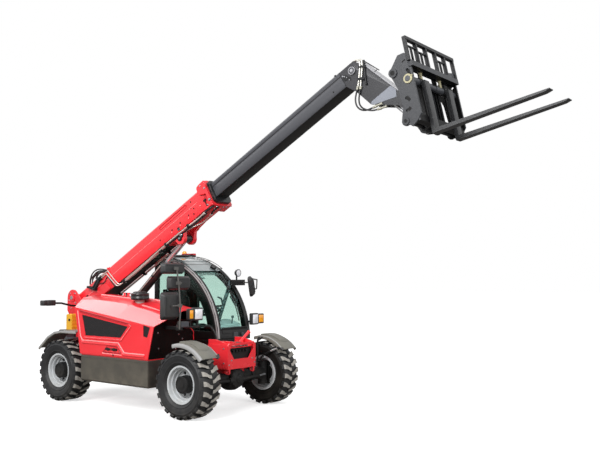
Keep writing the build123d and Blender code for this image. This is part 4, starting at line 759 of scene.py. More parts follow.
bulkhead_shade_black = finish("bulkhead black", tone(9, 8, 8), 0.55, drifting=0.2, size=4, grain=0.1, dusty=0.02,
                    shine=0.12)
frame["nodes"]["engine_bulkhead"].data.materials.clear()
frame["nodes"]["engine_bulkhead"].data.materials.append(bulkhead_shade_black)
dressed("engine_block", "chassis", "axle_iron", cast_black, edge=0.01)
bm = bmesh.new()
sheet_x, sheet_z, sheet_lean = 0.624, 0.672, 0.2402    # foot of the sheet's face, and how far it leans
for x, y, z in ((0.668, -0.8, 1.0), (0.7, -0.62, 1.06), (0.704, -0.5, 1.075), (0.668, -0.44, 0.96),
                (0.65, -0.36, 0.9), (0.7, -0.4, 1.07), (0.64, -0.74, 0.8), (0.633, -0.45, 0.78)):
    bolt(bm, (sheet_x + (z - sheet_z) * sheet_lean, y, z), (1, 0, -0.24), 0.009)
piece("bulkhead_bolts", bm, "chassis", "zinc", bright_steel)
bm = bmesh.new()
lead = [(0.741, -0.286, 1.035), (0.735, -0.24, 1.009), (0.728, -0.208, 0.979), (0.718, -0.203, 0.939),
        (0.703, -0.183, 0.877)]
bent_rod(bm, lead, 0.0055, 10)
piece("bulkhead_lead", bm, "chassis", "hose_rubber", red_enamel)
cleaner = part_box("air_precleaner")
centre = Vector(((cleaner[0].x + cleaner[1].x) / 2, (cleaner[0].y + cleaner[1].y) / 2, 0))
milk_plastic = finish("milky plastic", tone(176, 166, 160), 0.35, drifting=0.2, size=20, dusty=0.2, head=2.0)
bm = bmesh.new()
lathe(bm, [(0.0, 1.496), (0.06, 1.495), (0.084, 1.49), (0.092, 1.481), (0.094, 1.474), (0.11, 1.473),
           (0.118, 1.467), (0.12, 1.458), (0.115, 1.453), (0.115, 1.421), (0.12, 1.416), (0.12, 1.394),
           (0.112, 1.385), (0.088, 1.38), (0.0, 1.38)], place=Matrix.Translation(centre), steps=48)
for k in range(24):
    turn = tau * k / 24
    out = Vector((cos(turn), sin(turn), 0))
    rod(bm, centre + out * 0.1145 + Vector((0, 0, 1.424)), centre + out * 0.1145 + Vector((0, 0, 1.45)),
        0.0035, 6)
lathe(bm, [(0.072, 1.382), (0.066, 1.376), (0.058, 1.366), (0.0575, 1.35), (0.066, 1.338), (0.0, 1.332)],
      place=Matrix.Translation(centre), steps=40, paint=1)
piece("air_cleaner_cap", bm, "hood", "pad_plastic", smooth_black, milk_plastic, place=None,
      stands_for=["air_precleaner"], crisp=50)
heat_black = finish("heat-proof black", tone(34, 33, 33), 0.7, drifting=0.3, size=8, grain=0.2, dusty=0.2,
                    head=2.0)
dressed("exhaust_stack", "chassis", "exhaust_metal", heat_black, edge=0.004)
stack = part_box("exhaust_stack")
centre = Vector((stack[1].x - 0.068, stack[1].y - 0.068, 0))
bm = bmesh.new()
for z in (1.04, 1.12, 1.2, 1.28, 1.36):
    for k in range(10):
        turn = tau * k / 10
        out = Vector((cos(turn), sin(turn), 0))
        rod(bm, centre + out * 0.064 + Vector((0, 0, z - 0.02)),
            centre + out * 0.064 + Vector((0, 0, z + 0.02)), 0.0065, 8)
piece("exhaust_shield_ribs", bm, "chassis", "exhaust_metal", black_steel, place=None)
chock_yellow = finish("yellow plastic", tone(246, 184, 34), 0.5, drifting=0.12, size=12, grain=0.1,
                      grain_size=300, dusty=0.25, head=1.6)
dressed("wheel_chock", "chassis", "chock_plastic", chock_yellow, edge=0.006, rows=3)
chock_low, chock_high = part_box("wheel_chock")
bm = bmesh.new()
for k in range(4):
    z = chock_low.z + 0.035 + 0.05 * k
    block(bm, (chock_high.x - 0.002, chock_low.y + 0.015, z),
          (chock_high.x + 0.006, chock_high.y - 0.015, z + 0.022))
rod(bm, (chock_high.x - 0.045, chock_low.y - 0.014, chock_low.z + 0.145),
    (chock_high.x - 0.045, chock_low.y, chock_low.z + 0.145), 0.017, 20, paint=1)
piece("chock_ribs", bm, "chassis", "chock_plastic", chock_yellow, black_steel, place=None, edge=0.002)

# ---- cab -------------------------------------------------------------------------------------
# Welded cab of bent black tube with bonded pale green glass, a curved screen that runs on into
# the roof, a tinted sun band under the roof, and a moulded floor tub with two steps.
cab_black = finish("cab frame black", tone(22, 22, 24), 0.36, coat=0.1, drifting=0.12, size=3, grain=0.06,
                   dusty=0.05, head=2.0, shine=0.35)
pillar_highlight = finish("rubbed post black", tone(160, 157, 157), 0.3, coat=0.2, drifting=0.12, size=3, dusty=0.0)
seal_rubber = finish("seal rubber", tone(20, 21, 23), 0.65, drifting=0.1, size=10, dusty=0.1)
cab_x, cab_z, cab_r = -0.379, 0.8, 1.146               # middle and radius of the screen's curve
post_x = -0.455                                        # the rear posts
for name in ("cab_frame", "cab_floor"):
    dressed(name, "chassis", "cab_paint", cab_black, edge=0.007, rows=3)
roof_tint = finish("tinted roof glass", tone(150, 162, 164), 0.12, coat=0.4, drifting=0.35, size=2.5,
                   dusty=0.0)
dressed("cab_roof", "chassis", "red_paint", roof_tint, edge=0.005)
dressed("cab_door", "door", "cab_paint", cab_black, edge=0.005, rows=2)
green_glass, tree, shader = bare_surface("pale green glass")
space = node(tree, "ShaderNodeTexCoord").outputs["Object"]
cloud = node(tree, "ShaderNodeTexNoise", Vector=space, Scale=1.6, Detail=2.0)
shade = mixed(tree, cloud.outputs["Fac"], tone(206, 228, 220), tone(214, 233, 226))
tree.links.new(shade, shader.inputs["Base Color"])
shader.inputs["Transmission Weight"].default_value = 1.0
shader.inputs["Roughness"].default_value = 0.0
shader.inputs["IOR"].default_value = 1.12
for name in ("windscreen", "cab_windows", "door_glass"):
    frame["nodes"][name].data.materials.clear()
    frame["nodes"][name].data.materials.append(green_glass)


def on_arc(radius, angle):
    """Point (x, z) at a radius and angle about the middle of the screen's curve."""
    return cab_x + radius * cos(radians(angle)), cab_z + radius * sin(radians(angle))


def arched(bm, radius, y, start, end, thick, steps=26, sides=16, paint=0, flat=1.0):
    """Tube bent about the cab's curve from one angle to another."""
    before = set(bm.faces)
    x, z = on_arc(radius, start)
    ring = Matrix.Translation((x, y, z)) @ Matrix.Rotation(-radians(start), 4, "Y")
    ring = ring @ Matrix.Diagonal((1, flat, 1, 1))
    made = bmesh.ops.create_circle(bm, cap_ends=False, radius=thick, segments=sides, matrix=ring)["verts"]
    edges = list({edge for vert in made for edge in vert.link_edges})
    bmesh.ops.spin(bm, geom=made + edges, cent=(cab_x, y, cab_z), axis=(0, -1, 0), angle=radians(end - start),
                   steps=steps)
    for face in set(bm.faces) - before:
        face.material_index = paint
    bmesh.ops.holes_fill(bm, edges=[edge for edge in bm.edges if edge.is_boundary], sides=sides)


bm = bmesh.new()
# the near front post's tube is painted pale grey: a painted highlight
for y, thick in ((0.236, 0.024), (0.838, 0.03)):
    arched(bm, cab_r - 0.02, y, 3.0, 91.0, thick, paint=1 if y < 0.5 else 0)
    rod(bm, (cab_x - 0.01, y, cab_z + cab_r - 0.02), (post_x, y, cab_z + cab_r - 0.02), thick, 16)
    rod(bm, (post_x, y, cab_z + cab_r - 0.03), (post_x, y, 0.86), 0.028, 16)
# a flat black band inside the near post: painted shade of the dark cab seen through the side glass
arched(bm, cab_r - 0.115, 0.238, 4.0, 60.0, 0.078, flat=0.05)
piece("cab_tubes", bm, "chassis", "cab_paint", cab_black, pillar_highlight, crisp=50)
bm = bmesh.new()
for y in (0.272, 0.803):
    arched(bm, cab_r - 0.003, y, 8.6, 66.5, 0.009, sides=8)
for angle in (8.8, 66.2):
    x, z = on_arc(cab_r - 0.003, angle)
    rod(bm, (x, 0.27, z), (x, 0.805, z), 0.01, 8)
piece("screen_seal", bm, "chassis", "hose_rubber", seal_rubber)
bm = bmesh.new()
arched(bm, cab_r - 0.03, 0.5375, 54.5, 70.0, 0.01, steps=8, sides=8, flat=26.0)
arched(bm, cab_r - 0.03, 0.338, 50.0, 56.0, 0.01, steps=4, sides=8, flat=6.5)
piece("sun_band", bm, "chassis", "console_plastic", roof_tint)
bm = bmesh.new()
for low, high, reach in ((57, 91, 0.005), (73, 75, 0.01)):
    arc = [on_arc(cab_r + reach, a) for a in range(low, high + 1, 2)]
    under = [on_arc(cab_r + 0.001, a) for a in range(high, low - 1, -2)]
    outline(bm, arc + under, 0.262, 0.812)
piece("roof_pane", bm, "chassis", "console_plastic", roof_tint, edge=0.001)
bm = bmesh.new()
for y, end in ((0.772, 86), (0.845, 84)):
    arched(bm, cab_r + 0.03, y, 58, end, 0.0045, sides=8)
for angle in (58.5, 71, 83.5):
    (x0, z0), (x1, z1) = on_arc(cab_r - 0.01, angle), on_arc(cab_r + 0.03, angle)
    for y in (0.845, 0.772):
        rod(bm, (x0, y, z0), (x1, y, z1), 0.0045, 8)
    rod(bm, (x1, 0.772, z1), (x1, 0.845, z1), 0.0045, 8)
guard_grey = finish("guard bar grey", tone(120, 118, 116), 0.4, drifting=0.2, dusty=0.1)
piece("roof_guard", bm, "chassis", "cab_paint", guard_grey)
bm = bmesh.new()
for angle, y in ((60.0, 0.7), (61.5, 0.74)):
    x, z = on_arc(cab_r + 0.012, angle)
    block(bm, (x - 0.035, y - 0.03, z - 0.018), (x + 0.03, y + 0.03, z + 0.022),
          turn=Matrix.Rotation(radians(30), 4, "Y"))
arched(bm, cab_r + 0.012, 0.69, 25.0, 60.0, 0.006, sides=8)
arched(bm, cab_r + 0.004, 0.66, 14.0, 42.0, 0.009, sides=6, flat=0.6)
piece("wiper", bm, "chassis", "pad_plastic", black_steel, edge=0.003)
bm = bmesh.new()
block(bm, (-0.46, 0.26, 1.962), (0.1, 0.46, 1.988))
block(bm, (-0.44, 0.245, 1.955), (0.16, 0.285, 1.978))
for x, y in ((-0.22, 0.3), (-0.08, 0.43), (0.05, 0.43)):
    block(bm, (x - 0.05, y - 0.03, 1.984), (x + 0.05, y + 0.03, 2.008), paint=1)
piece("roof_bar", bm, "chassis", "cab_paint", cab_black, red_enamel, edge=0.006, rows=3)
bm = bmesh.new()
for z in (0.995, 0.86):
    block(bm, (0.755, 0.29, z - 0.008), (0.775, 0.79, z + 0.008))
outline(bm, [(0.7, 0.84), (0.752, 0.84), (0.762, 0.95), (0.752, 0.985), (0.715, 0.985)], 0.3, 0.46)
block(bm, (0.735, 0.52, 0.87), (0.775, 0.6, 0.93), paint=1)
rod(bm, (0.775, 0.69, 0.9), (0.782, 0.69, 0.9), 0.026, 24, paint=1)
piece("front_panel", bm, "chassis", "cab_paint", cab_black, dark_enamel, edge=0.006, rows=3)
bm = bmesh.new()
bow = [(0.58 + 0.17 * cos(radians(a)), 0.224, 0.72 + 0.3 * sin(radians(a))) for a in range(-10, 115, 10)]
bent_rod(bm, bow, 0.024, 12)
piece("cab_arch_tube", bm, "chassis", "cab_paint", cab_black, crisp=60)
bm = bmesh.new()
rod(bm, (-0.255, 0.885, 1.12), (-0.255, 0.885, 1.56), 0.011, 12)
for z in (1.12, 1.56):
    rod(bm, (-0.255, 0.885, z), (-0.255, 0.845, z), 0.011, 12)
piece("door_grab_rail", bm, "door", "cab_paint", black_steel)
bm = bmesh.new()
block(bm, (0.26, 0.858, 0.905), (0.36, 0.872, 0.965), paint=0)
block(bm, (0.27, 0.872, 0.918), (0.35, 0.884, 0.932), paint=1)
piece("door_handle", bm, "door", "pad_plastic", black_steel, bright_steel, edge=0.004)
bm = bmesh.new()
for x in (-0.17, -0.08, 0.01, 0.1, 0.19, 0.28):
    block(bm, (x, 0.71, 0.416), (x + 0.03, 0.83, 0.422))
piece("step_treads", bm, "chassis", "zinc", bright_steel, edge=0.001)

# ---- seat and controls -----------------------------------------------------------------------
# Sprung seat in dark cloth over foam, the steering column with its wheel, a lever bank on the
# right and an inclined grab bar by the left pillar.


def rounded(bm, edges, offset, segments):
    """Rounds some edges of a shape while it is being made."""
    bmesh.ops.bevel(bm, geom=edges, offset=offset, segments=segments, profile=0.5, affect="EDGES",
                    material=-1)


seat_cloth, tree, shader = bare_surface("seat cloth")
shader.inputs["Sheen Weight"].default_value = 0.3
shader.inputs["Roughness"].default_value = 0.9
space = node(tree, "ShaderNodeTexCoord").outputs["Object"]
warp = node(tree, "ShaderNodeTexWave", {"bands_direction": "Y"}, Vector=space, Scale=160.0, Distortion=1.0)
weft = node(tree, "ShaderNodeTexWave", {"bands_direction": "DIAGONAL"}, Vector=space, Scale=130.0,
            Distortion=1.0)
weave = maths(tree, "MULTIPLY", i0=warp.outputs["Fac"], i1=weft.outputs["Fac"])
cloth_tone = node(tree, "ShaderNodeGroup", {"node_tree": drift}, Colour=tone(52, 54, 60), Size=6.0,
                  Strength=0.3, Grain=0.1)
shade = mixed(tree, weave, tone(30, 31, 36), cloth_tone.outputs["Colour"])
relief = node(tree, "ShaderNodeBump", Strength=0.8, Distance=0.001, Height=weave)
tree.links.new(shade, shader.inputs["Base Color"])
tree.links.new(relief.outputs[0], shader.inputs["Normal"])
seat_x, seat_y = -0.19, 0.5375
cushions = []
for name, low, high, lean in (("seat_cushion", (-0.185, -0.218, 0.912), (0.262, 0.218, 0.996), -3),
                              ("seat_back", (-0.19, -0.208, 1.03), (-0.118, 0.208, 1.52), -8)):
    bm = bmesh.new()
    low, high = Vector(low) + Vector((seat_x, seat_y, 0)), Vector(high) + Vector((seat_x, seat_y, 0))
    block(bm, low, high, turn=Matrix.Rotation(radians(lean), 4, "Y"))
    rounded(bm, bm.edges[:], 0.028, 3)
    if name == "seat_back":
        for side in (-1, 1):
            block(bm, low + Vector((0.02, 0.208 + side * 0.17 - 0.03, 0.03)),
                  low + Vector((0.11, 0.208 + side * 0.17 + 0.03, 0.36)),
                  turn=Matrix.Rotation(radians(lean), 4, "Y"))
    cushion = piece(name, bm, "chassis", "seat_fabric", seat_cloth, crisp=80)
    knit = cushion.modifiers.new("remesh", "REMESH")
    knit.mode = "VOXEL"
    knit.voxel_size = 0.01
    knit.use_smooth_shade = True
    bpy.context.view_layer.update()
    knitted = cushion.evaluated_get(bpy.context.evaluated_depsgraph_get())
    cushion.data = bpy.data.meshes.new_from_object(knitted)
    cushion.modifiers.clear()
    cushions.append(cushion)


def puffed(cushion, pressure=4.0, most=0.01, frames=16):
    """Foam pressed out against its cover: a short cloth run, capped, then kept as the mesh."""
    rest = [vert.co.copy() for vert in cushion.data.vertices]
    cloth = cushion.modifiers.new("cover", "CLOTH")
    cloth.settings.use_pressure = True
    cloth.settings.uniform_pressure_force = pressure
    cloth.settings.tension_stiffness = 40
    cloth.settings.compression_stiffness = 40
    cloth.settings.effector_weights.gravity = 0
    cloth.point_cache.frame_start = 1
    cloth.point_cache.frame_end = frames
    stage = bpy.context.scene
    for moment in range(1, frames + 1):
        stage.frame_set(moment)
    swollen = cushion.evaluated_get(bpy.context.evaluated_depsgraph_get()).to_mesh()
    placed = [vert.co.copy() for vert in swollen.vertices]
    cushion.modifiers.clear()
    for vert, start, end in zip(cushion.data.vertices, rest, placed):
        move = end - start
        vert.co = start + move * min(1.0, most / max(move.length, 1e-9))
    stage.frame_set(1)


for cushion in cushions:
    puffed(cushion)
    finer = cushion.modifiers.new("finer", "SUBSURF")
    finer.levels = finer.render_levels = 1
control_black = finish("moulded grey black plastic", tone(44, 46, 50), 0.5, drifting=0.12, size=10, grain=0.2,
                       grain_size=600, bump=0.0008, dusty=0.0)
dash_blue = finish("dash plastic", tone(215, 234, 240), 0.5, drifting=0.3, size=14, grain=0.1, dusty=0.0)
bm = bmesh.new()
block(bm, (seat_x - 0.15, seat_y - 0.15, 0.6205), (seat_x + 0.15, seat_y + 0.15, 0.7))
for k in range(6):
    inset = 0.004 * (k % 2)
    block(bm, (seat_x - 0.14 + inset, seat_y - 0.145, 0.7 + 0.032 * k),
          (seat_x + 0.14 - inset, seat_y + 0.145, 0.732 + 0.032 * k))
block(bm, (seat_x - 0.187, seat_y - 0.23, 0.892), (seat_x + 0.262, seat_y + 0.23, 0.912))
block(bm, (seat_x - 0.232, seat_y - 0.19, 1.02), (seat_x - 0.196, seat_y + 0.19, 1.5),
      turn=Matrix.Rotation(radians(-8), 4, "Y"))
for side in (-1, 1):
    rod(bm, (seat_x - 0.17, seat_y + side * 0.245, 1.14), (seat_x + 0.13, seat_y + side * 0.245, 1.16), 0.024,
        16)
    rod(bm, (seat_x - 0.17, seat_y + side * 0.225, 1.0), (seat_x - 0.17, seat_y + side * 0.245, 1.14), 0.014,
        12)
piece("seat_base", bm, "chassis", "console_plastic", control_black, edge=0.006, rows=3,
      stands_for=["operator_seat"])
dressed("steering_console", "chassis", "console_plastic", control_black, edge=0.006, rows=2)
bm = bmesh.new()
block(bm, (0.33, 0.31, 0.62), (0.69, 0.345, 0.99), paint=0)
outline(bm, [(0.44, 1.0), (0.68, 0.965), (0.68, 1.035), (0.46, 1.095)], 0.32, 0.755, paint=1)
for x, y in ((0.05, 0.3), (0.14, 0.3)):
    rod(bm, (x, y, 0.98), (x + 0.01, y, 1.14), 0.007, 10)
    rod(bm, (x + 0.01, y, 1.13), (x + 0.012, y, 1.19), 0.017, 14, tip=0.021)
block(bm, (-0.05, 0.262, 0.7), (0.26, 0.335, 0.985))
piece("lever_bank", bm, "chassis", "console_plastic", control_black, dash_blue, edge=0.005, rows=3)
bm = bmesh.new()
rod(bm, (0.5, 0.49, 1.06), (0.46, 0.79, 1.62), 0.027, 14)
rod(bm, (0.5, 0.49, 1.05), (0.5, 0.49, 1.1), 0.065, 20, tip=0.03)
rod(bm, (0.495, 0.56, 1.22), (0.49, 0.48, 1.25), 0.015, 10)
rod(bm, (0.49, 0.48, 1.24), (0.49, 0.475, 1.27), 0.024, 10)
rod(bm, (0.485, 0.6, 1.3), (0.485, 0.57, 1.38), 0.013, 10)
rod(bm, (0.485, 0.57, 1.38), (0.485, 0.5, 1.4), 0.012, 10)


def ball(bm, middle, radius, sides, rings):
    """Ball that rounds off the bend of a bar."""
    bmesh.ops.create_uvsphere(bm, u_segments=sides, v_segments=rings, radius=radius,
                              matrix=Matrix.Translation(middle))


hoop = [(0.5, 0.785, 1.44), (0.6, 0.785, 1.322), (0.549, 0.785, 1.277), (0.455, 0.785, 1.4)]
for a, b in zip(hoop, hoop[1:] + hoop[:1]):
    rod(bm, a, b, 0.008, 10)
    ball(bm, b, 0.008, 10, 6)
rod(bm, (0.655, 0.6, 1.035), (0.668, 0.6, 1.125), 0.007, 10)
rod(bm, (0.668, 0.6, 1.115), (0.67, 0.6, 1.15), 0.015, 14, tip=0.019)
grab_grey = finish("grab bar grey", tone(74, 92, 96), 0.4, drifting=0.15, dusty=0.0)
piece("inner_grab_bar", bm, "chassis", "console_plastic", grab_grey, edge=0.001)

# ---- mirrors ---------------------------------------------------------------------------------
# Moulded mirror heads on bent steel tube: three on the mast at the engine's front corner and
# one beyond the cab. The shells are ribbed at their clamps and hold a silvered glass behind.
mirror_shell = finish("mirror shell", tone(34, 35, 38), 0.45, drifting=0.15, size=14, grain=0.2,
                      grain_size=500, bump=0.0008, dusty=0.1, head=2.5)
tube_grey = finish("mirror tube", tone(86, 85, 83), 0.38, drifting=0.15, size=10, dusty=0.1, head=2.5)
silvered = finish("mirror glass", tone(215, 220, 224), 0.04, metal=1.0, drifting=0.02, dusty=0.0)


def mirror_head(name, low, high, turn=None):
    """Rounded shell with a raised clamp pad in front and the glass behind."""
    low, high = Vector(low), Vector(high)
    middle = (low + high) / 2
    turned = Matrix.Translation(middle) @ (turn or Matrix.Identity(4)) @ Matrix.Translation(-middle)
    bm = bmesh.new()
    block(bm, low, high)
    rounded(bm, [e for e in bm.edges if abs((e.verts[0].co - e.verts[1].co).x) > 0.01], 0.034, 6)
    for vert in [v for v in bm.verts if v.co.x > middle.x]:
        vert.co.y = middle.y + (vert.co.y - middle.y) * 0.88
        vert.co.z = middle.z + (vert.co.z - middle.z) * 0.84
    rounded(bm, [e for e in bm.edges if e.verts[0].co.x > middle.x and e.verts[1].co.x > middle.x], 0.016, 4)
    rod(bm, middle, (high.x + 0.008, middle.y, middle.z), 0.03, 20)
    wide = (high.y - low.y) > (high.z - low.z)
    for k in (-0.3, 0.3):
        if wide:
            block(bm, (high.x - 0.004, low.y + 0.06, middle.z + k * (high.z - low.z) - 0.005),
                  (high.x + 0.005, high.y - 0.06, middle.z + k * (high.z - low.z) + 0.005))
        else:
            block(bm, (high.x - 0.004, middle.y + k * (high.y - low.y) - 0.005, low.z + 0.06),
                  (high.x + 0.005, middle.y + k * (high.y - low.y) + 0.005, high.z - 0.06))
    bmesh.ops.transform(bm, matrix=turned, verts=bm.verts)
    piece(name, bm, "chassis", "pad_plastic", mirror_shell, crisp=50)
    bm = bmesh.new()
    block(bm, (low.x - 0.0015, low.y + 0.012, low.z + 0.012), (low.x + 0.004, high.y - 0.012, high.z - 0.012))
    rounded(bm, [e for e in bm.edges if abs((e.verts[0].co - e.verts[1].co).x) > 0.004], 0.026, 5)
    bmesh.ops.transform(bm, matrix=turned, verts=bm.verts)
    piece(name + "_glass", bm, "chassis", "chrome_rod", silvered)


mirror_head("mirror_top", (0.99, -1.034, 1.722), (1.04, -0.655, 1.856))
mirror_head("mirror_middle", (0.992, -0.935, 1.53), (1.04, -0.555, 1.695))
mirror_head("mirror_tall", (0.99, -1.0345, 1.175), (1.042, -0.74, 1.505))
mirror_head("mirror_left", (0.712, 0.88, 1.4), (0.758, 0.97, 1.69), turn=Matrix.Rotation(radians(12), 4, "X"))
bm = bmesh.new()
mast = [(1.062, -0.842, 1.8), (1.062, -0.8, 1.6), (1.06, -0.765, 1.3), (1.036, -0.76, 1.055)]
bent_rod(bm, mast, 0.0095, 16)
for point in mast[1:-1]:
    ball(bm, point, 0.0095, 16, 10)
for z, y in ((1.789, -0.842), (1.612, -0.8), (1.34, -0.772)):
    block(bm, (1.04, y - 0.026, z - 0.02), (1.072, y + 0.026, z + 0.02))
rod(bm, (1.058, -0.772, 1.34), (1.048, -0.89, 1.34), 0.01, 12)
rod(bm, (1.058, -0.8, 1.612), (1.048, -0.745, 1.612), 0.01, 12)
for start, end in (((0.735, 0.925, 1.6), (0.58, 0.925, 1.6)), ((0.735, 0.925, 1.5), (0.735, 1.028, 1.512)),
                   ((0.735, 1.028, 1.512), (0.735, 1.038, 1.64)),
                   ((0.735, 1.038, 1.64), (0.735, 0.945, 1.652))):
    rod(bm, start, end, 0.009, 14)
    ball(bm, end, 0.009, 14, 8)
piece("mirror_tubes", bm, "chassis", "pad_plastic", tube_grey, edge=0.003, stands_for=["mirrors"])
bm = bmesh.new()
block(bm, (0.723, -0.7, 1.04), (1.03, -0.66, 1.08))
block(bm, (0.99, -0.775, 1.04), (1.03, -0.66, 1.08))
rod(bm, (1.01, -0.69, 1.07), (1.01, -0.39, 1.07), 0.012, 16)
block(bm, (0.985, -0.75, 1.072), (1.04, -0.6, 1.146), paint=1)
block(bm, (1.037, -0.742, 1.08), (1.046, -0.608, 1.138), paint=2)
rod(bm, (1.01, -0.64, 1.09), (1.01, -0.5, 1.17), 0.008, 12)
piece("lamp_arm", bm, "chassis", "pad_plastic", black_steel, mirror_shell, dark_enamel, edge=0.005, rows=3)

# ---- lamps -----------------------------------------------------------------------------------
# Moulded black lamp boxes with clear ribbed lenses over bright reflectors and amber indicators,
# a round work lamp on its bar, and the orange beacon.


def ribbed_lens(name, colour, low_tone, across):
    """Moulded lens plastic: upright ribs over a cloudy bright back."""
    lens_paint, tree, shader = bare_surface(name)
    space = node(tree, "ShaderNodeTexCoord").outputs["Object"]
    ribs = node(tree, "ShaderNodeTexWave", {"bands_direction": "Y"}, Vector=space,
                Scale=across, Distortion=0.0)
    glow = node(tree, "ShaderNodeTexNoise", Vector=space, Scale=22.0, Detail=1.0)
    depth = maths(tree, "MULTIPLY_ADD", i0=ribs.outputs["Fac"], i1=0.4, i2=-0.1)
    depth = maths(tree, "ADD", clamp=True, i0=depth, i1=glow.outputs["Fac"])
    shade = mixed(tree, depth, tone(*low_tone), tone(*colour))
    relief = node(tree, "ShaderNodeBump", Strength=0.5, Distance=0.002, Height=ribs.outputs["Fac"])
    tree.links.new(shade, shader.inputs["Base Color"])
    tree.links.new(shade, shader.inputs["Emission Color"])
    tree.links.new(relief.outputs[0], shader.inputs["Normal"])
    shader.inputs["Emission Strength"].default_value = 0.15
    shader.inputs["Roughness"].default_value = 0.15
    shader.inputs["Coat Weight"].default_value = 0.6
    return lens_paint


clear_lens = ribbed_lens("clear ribbed lens", (255, 255, 255), (196, 198, 212), 70.0)
amber_lens = ribbed_lens("amber lens", (255, 178, 20), (244, 138, 4), 60.0)
red_lens = finish("red lens", tone(190, 14, 20), 0.15, coat=0.6, drifting=0.2, size=30, dusty=0.0)


def lamp_box(name, low, high, lens_paint, face=1):
    """Rounded lamp box with its lens standing in a bezel, facing forward or back."""
    low, high = Vector(low), Vector(high)
    bm = bmesh.new()
    block(bm, low, high)
    rounded(bm, bm.edges[:], 0.012, 3)
    piece(name + "_box", bm, "chassis", "pad_plastic", mirror_shell, crisp=50)
    edge_x = high.x if face > 0 else low.x
    low_x, high_x = sorted((edge_x - face * 0.01, edge_x + face * 0.004))
    bm = bmesh.new()
    block(bm, (low_x, low.y + 0.016, low.z + 0.018), (high_x, high.y - 0.016, high.z - 0.018))
    rounded(bm, bm.edges[:], 0.003, 2)
    piece(name + "_lens", bm, "chassis", "lamp_clear", lens_paint, crisp=50)


lamp_box("headlamp_right", (0.968, -0.504, 1.146), (1.031, -0.346, 1.304), clear_lens)
lamp_box("indicator_right", (0.972, -0.589, 1.156), (1.026, -0.5, 1.294), amber_lens)
lamp_box("headlamp_left", (0.806, 0.786, 1.021), (0.866, 0.923, 1.179), clear_lens)
lamp_box("indicator_left", (0.811, 0.917, 1.031), (0.861, 1.048, 1.169), amber_lens)
for side, sign in (("left", 1), ("right", -1)):
    low_y, high_y = sorted((sign * 0.62, sign * 0.76))
    lamp_box("rear_lamp_" + side, (-1.7, low_y, 1.27), (-1.612, high_y, 1.35), red_lens, face=-1)
    low_y, high_y = sorted((sign * 0.75, sign * 0.83))
    lamp_box("rear_indicator_" + side, (-1.697, low_y, 1.273), (-1.615, high_y, 1.347), amber_lens, face=-1)
bm = bmesh.new()
for y in (-0.545, -0.43):
    rod(bm, (1.006, y, 1.062), (1.004, y, 1.165), 0.01, 12)
rod(bm, (0.84, 0.845, 1.06), (0.7, 0.845, 1.06), 0.014, 14)
block(bm, (0.52, 0.7, 1.56), (0.578, 0.96, 1.64), paint=1)
rod(bm, (0.55, 0.812, 1.63), (0.55, 0.812, 1.69), 0.012, 14)
block(bm, (0.405, 0.82, 1.587), (0.552, 0.844, 1.613))
for sign in (-1, 1):
    arm = [(-1.648, sign * 0.227, 1.25), (-1.651, sign * 0.34, 1.262), (-1.655, sign * 0.5, 1.3),
           (-1.655, sign * 0.64, 1.305)]
    for start, end in zip(arm, arm[1:]):
        rod(bm, start, end, 0.014, 16)
        ball(bm, end, 0.014, 16, 8)
piece("lamp_brackets", bm, "chassis", "pad_plastic", black_steel, cab_black, edge=0.004, rows=3,
      stands_for=["lamps"])
bm = bmesh.new()
work = Matrix.Translation((0.56, 0.812, 1.735)) @ Matrix.Rotation(pi / 2, 4, "Y")
lathe(bm, [(0.0, -0.03), (0.02, -0.029), (0.04, -0.016), (0.05, 0.004), (0.0525, 0.018), (0.0525, 0.029),
           (0.046, 0.03), (0.045, 0.02)], place=work, steps=36)
piece("work_lamp_shell", bm, "chassis", "pad_plastic", mirror_shell, crisp=50)
bm = bmesh.new()
lathe(bm, [(0.0455, 0.018), (0.0455, 0.026), (0.03, 0.029), (0.0, 0.03)], place=work, steps=36)
piece("work_lamp_lens", bm, "chassis", "lamp_clear", clear_lens, crisp=50)
bm = bmesh.new()
beacon = Matrix.Translation((-0.42, 0.74, 1.968))
lathe(bm, [(0.0, 0.0), (0.04, 0.0), (0.04, 0.016), (0.034, 0.018)], place=beacon, steps=32)
lathe(bm, [(0.0345, 0.016), (0.035, 0.06), (0.031, 0.076), (0.02, 0.086), (0.0, 0.088)], place=beacon,
      steps=32, paint=1)
piece("beacon", bm, "chassis", "lamp_clear", black_steel, amber_lens, crisp=50)

# ---- outer boom ------------------------------------------------------------------------------
# Folded and welded red box with a crease along each side traced by a painted highlight line, a
# bolted head that holds the front wear pads, lugs for the lift cylinder below, and bright steel
# pipes clamped to its right side. Its underside and side pressings carry painted shade.
dressed("outer_boom", "outer_boom", "red_paint", red_enamel, edge=0.005, rows=3)
dressed("boom_wear_pads", "outer_boom", "pad_plastic", smooth_black, edge=0.004)
bm = bmesh.new()
# a thin pale red rod along each crease: a painted highlight line
for side in (-1, 1):
    rod(bm, (-0.05, side * 0.1488, -0.105), (2.8, side * 0.1488, -0.105), 0.0032, 10)
piece("boom_creases", bm, "outer_boom", "red_paint", highlight_red, place=boom_place)
underside_shade = finish("oiled underside", tone(13, 12, 12), 0.5, drifting=0.2, size=3, dusty=0.0)
pipe_steel = finish("bright pipe", tone(212, 210, 202), 0.34, metal=0.5, drifting=0.15, size=12, dusty=0.0)


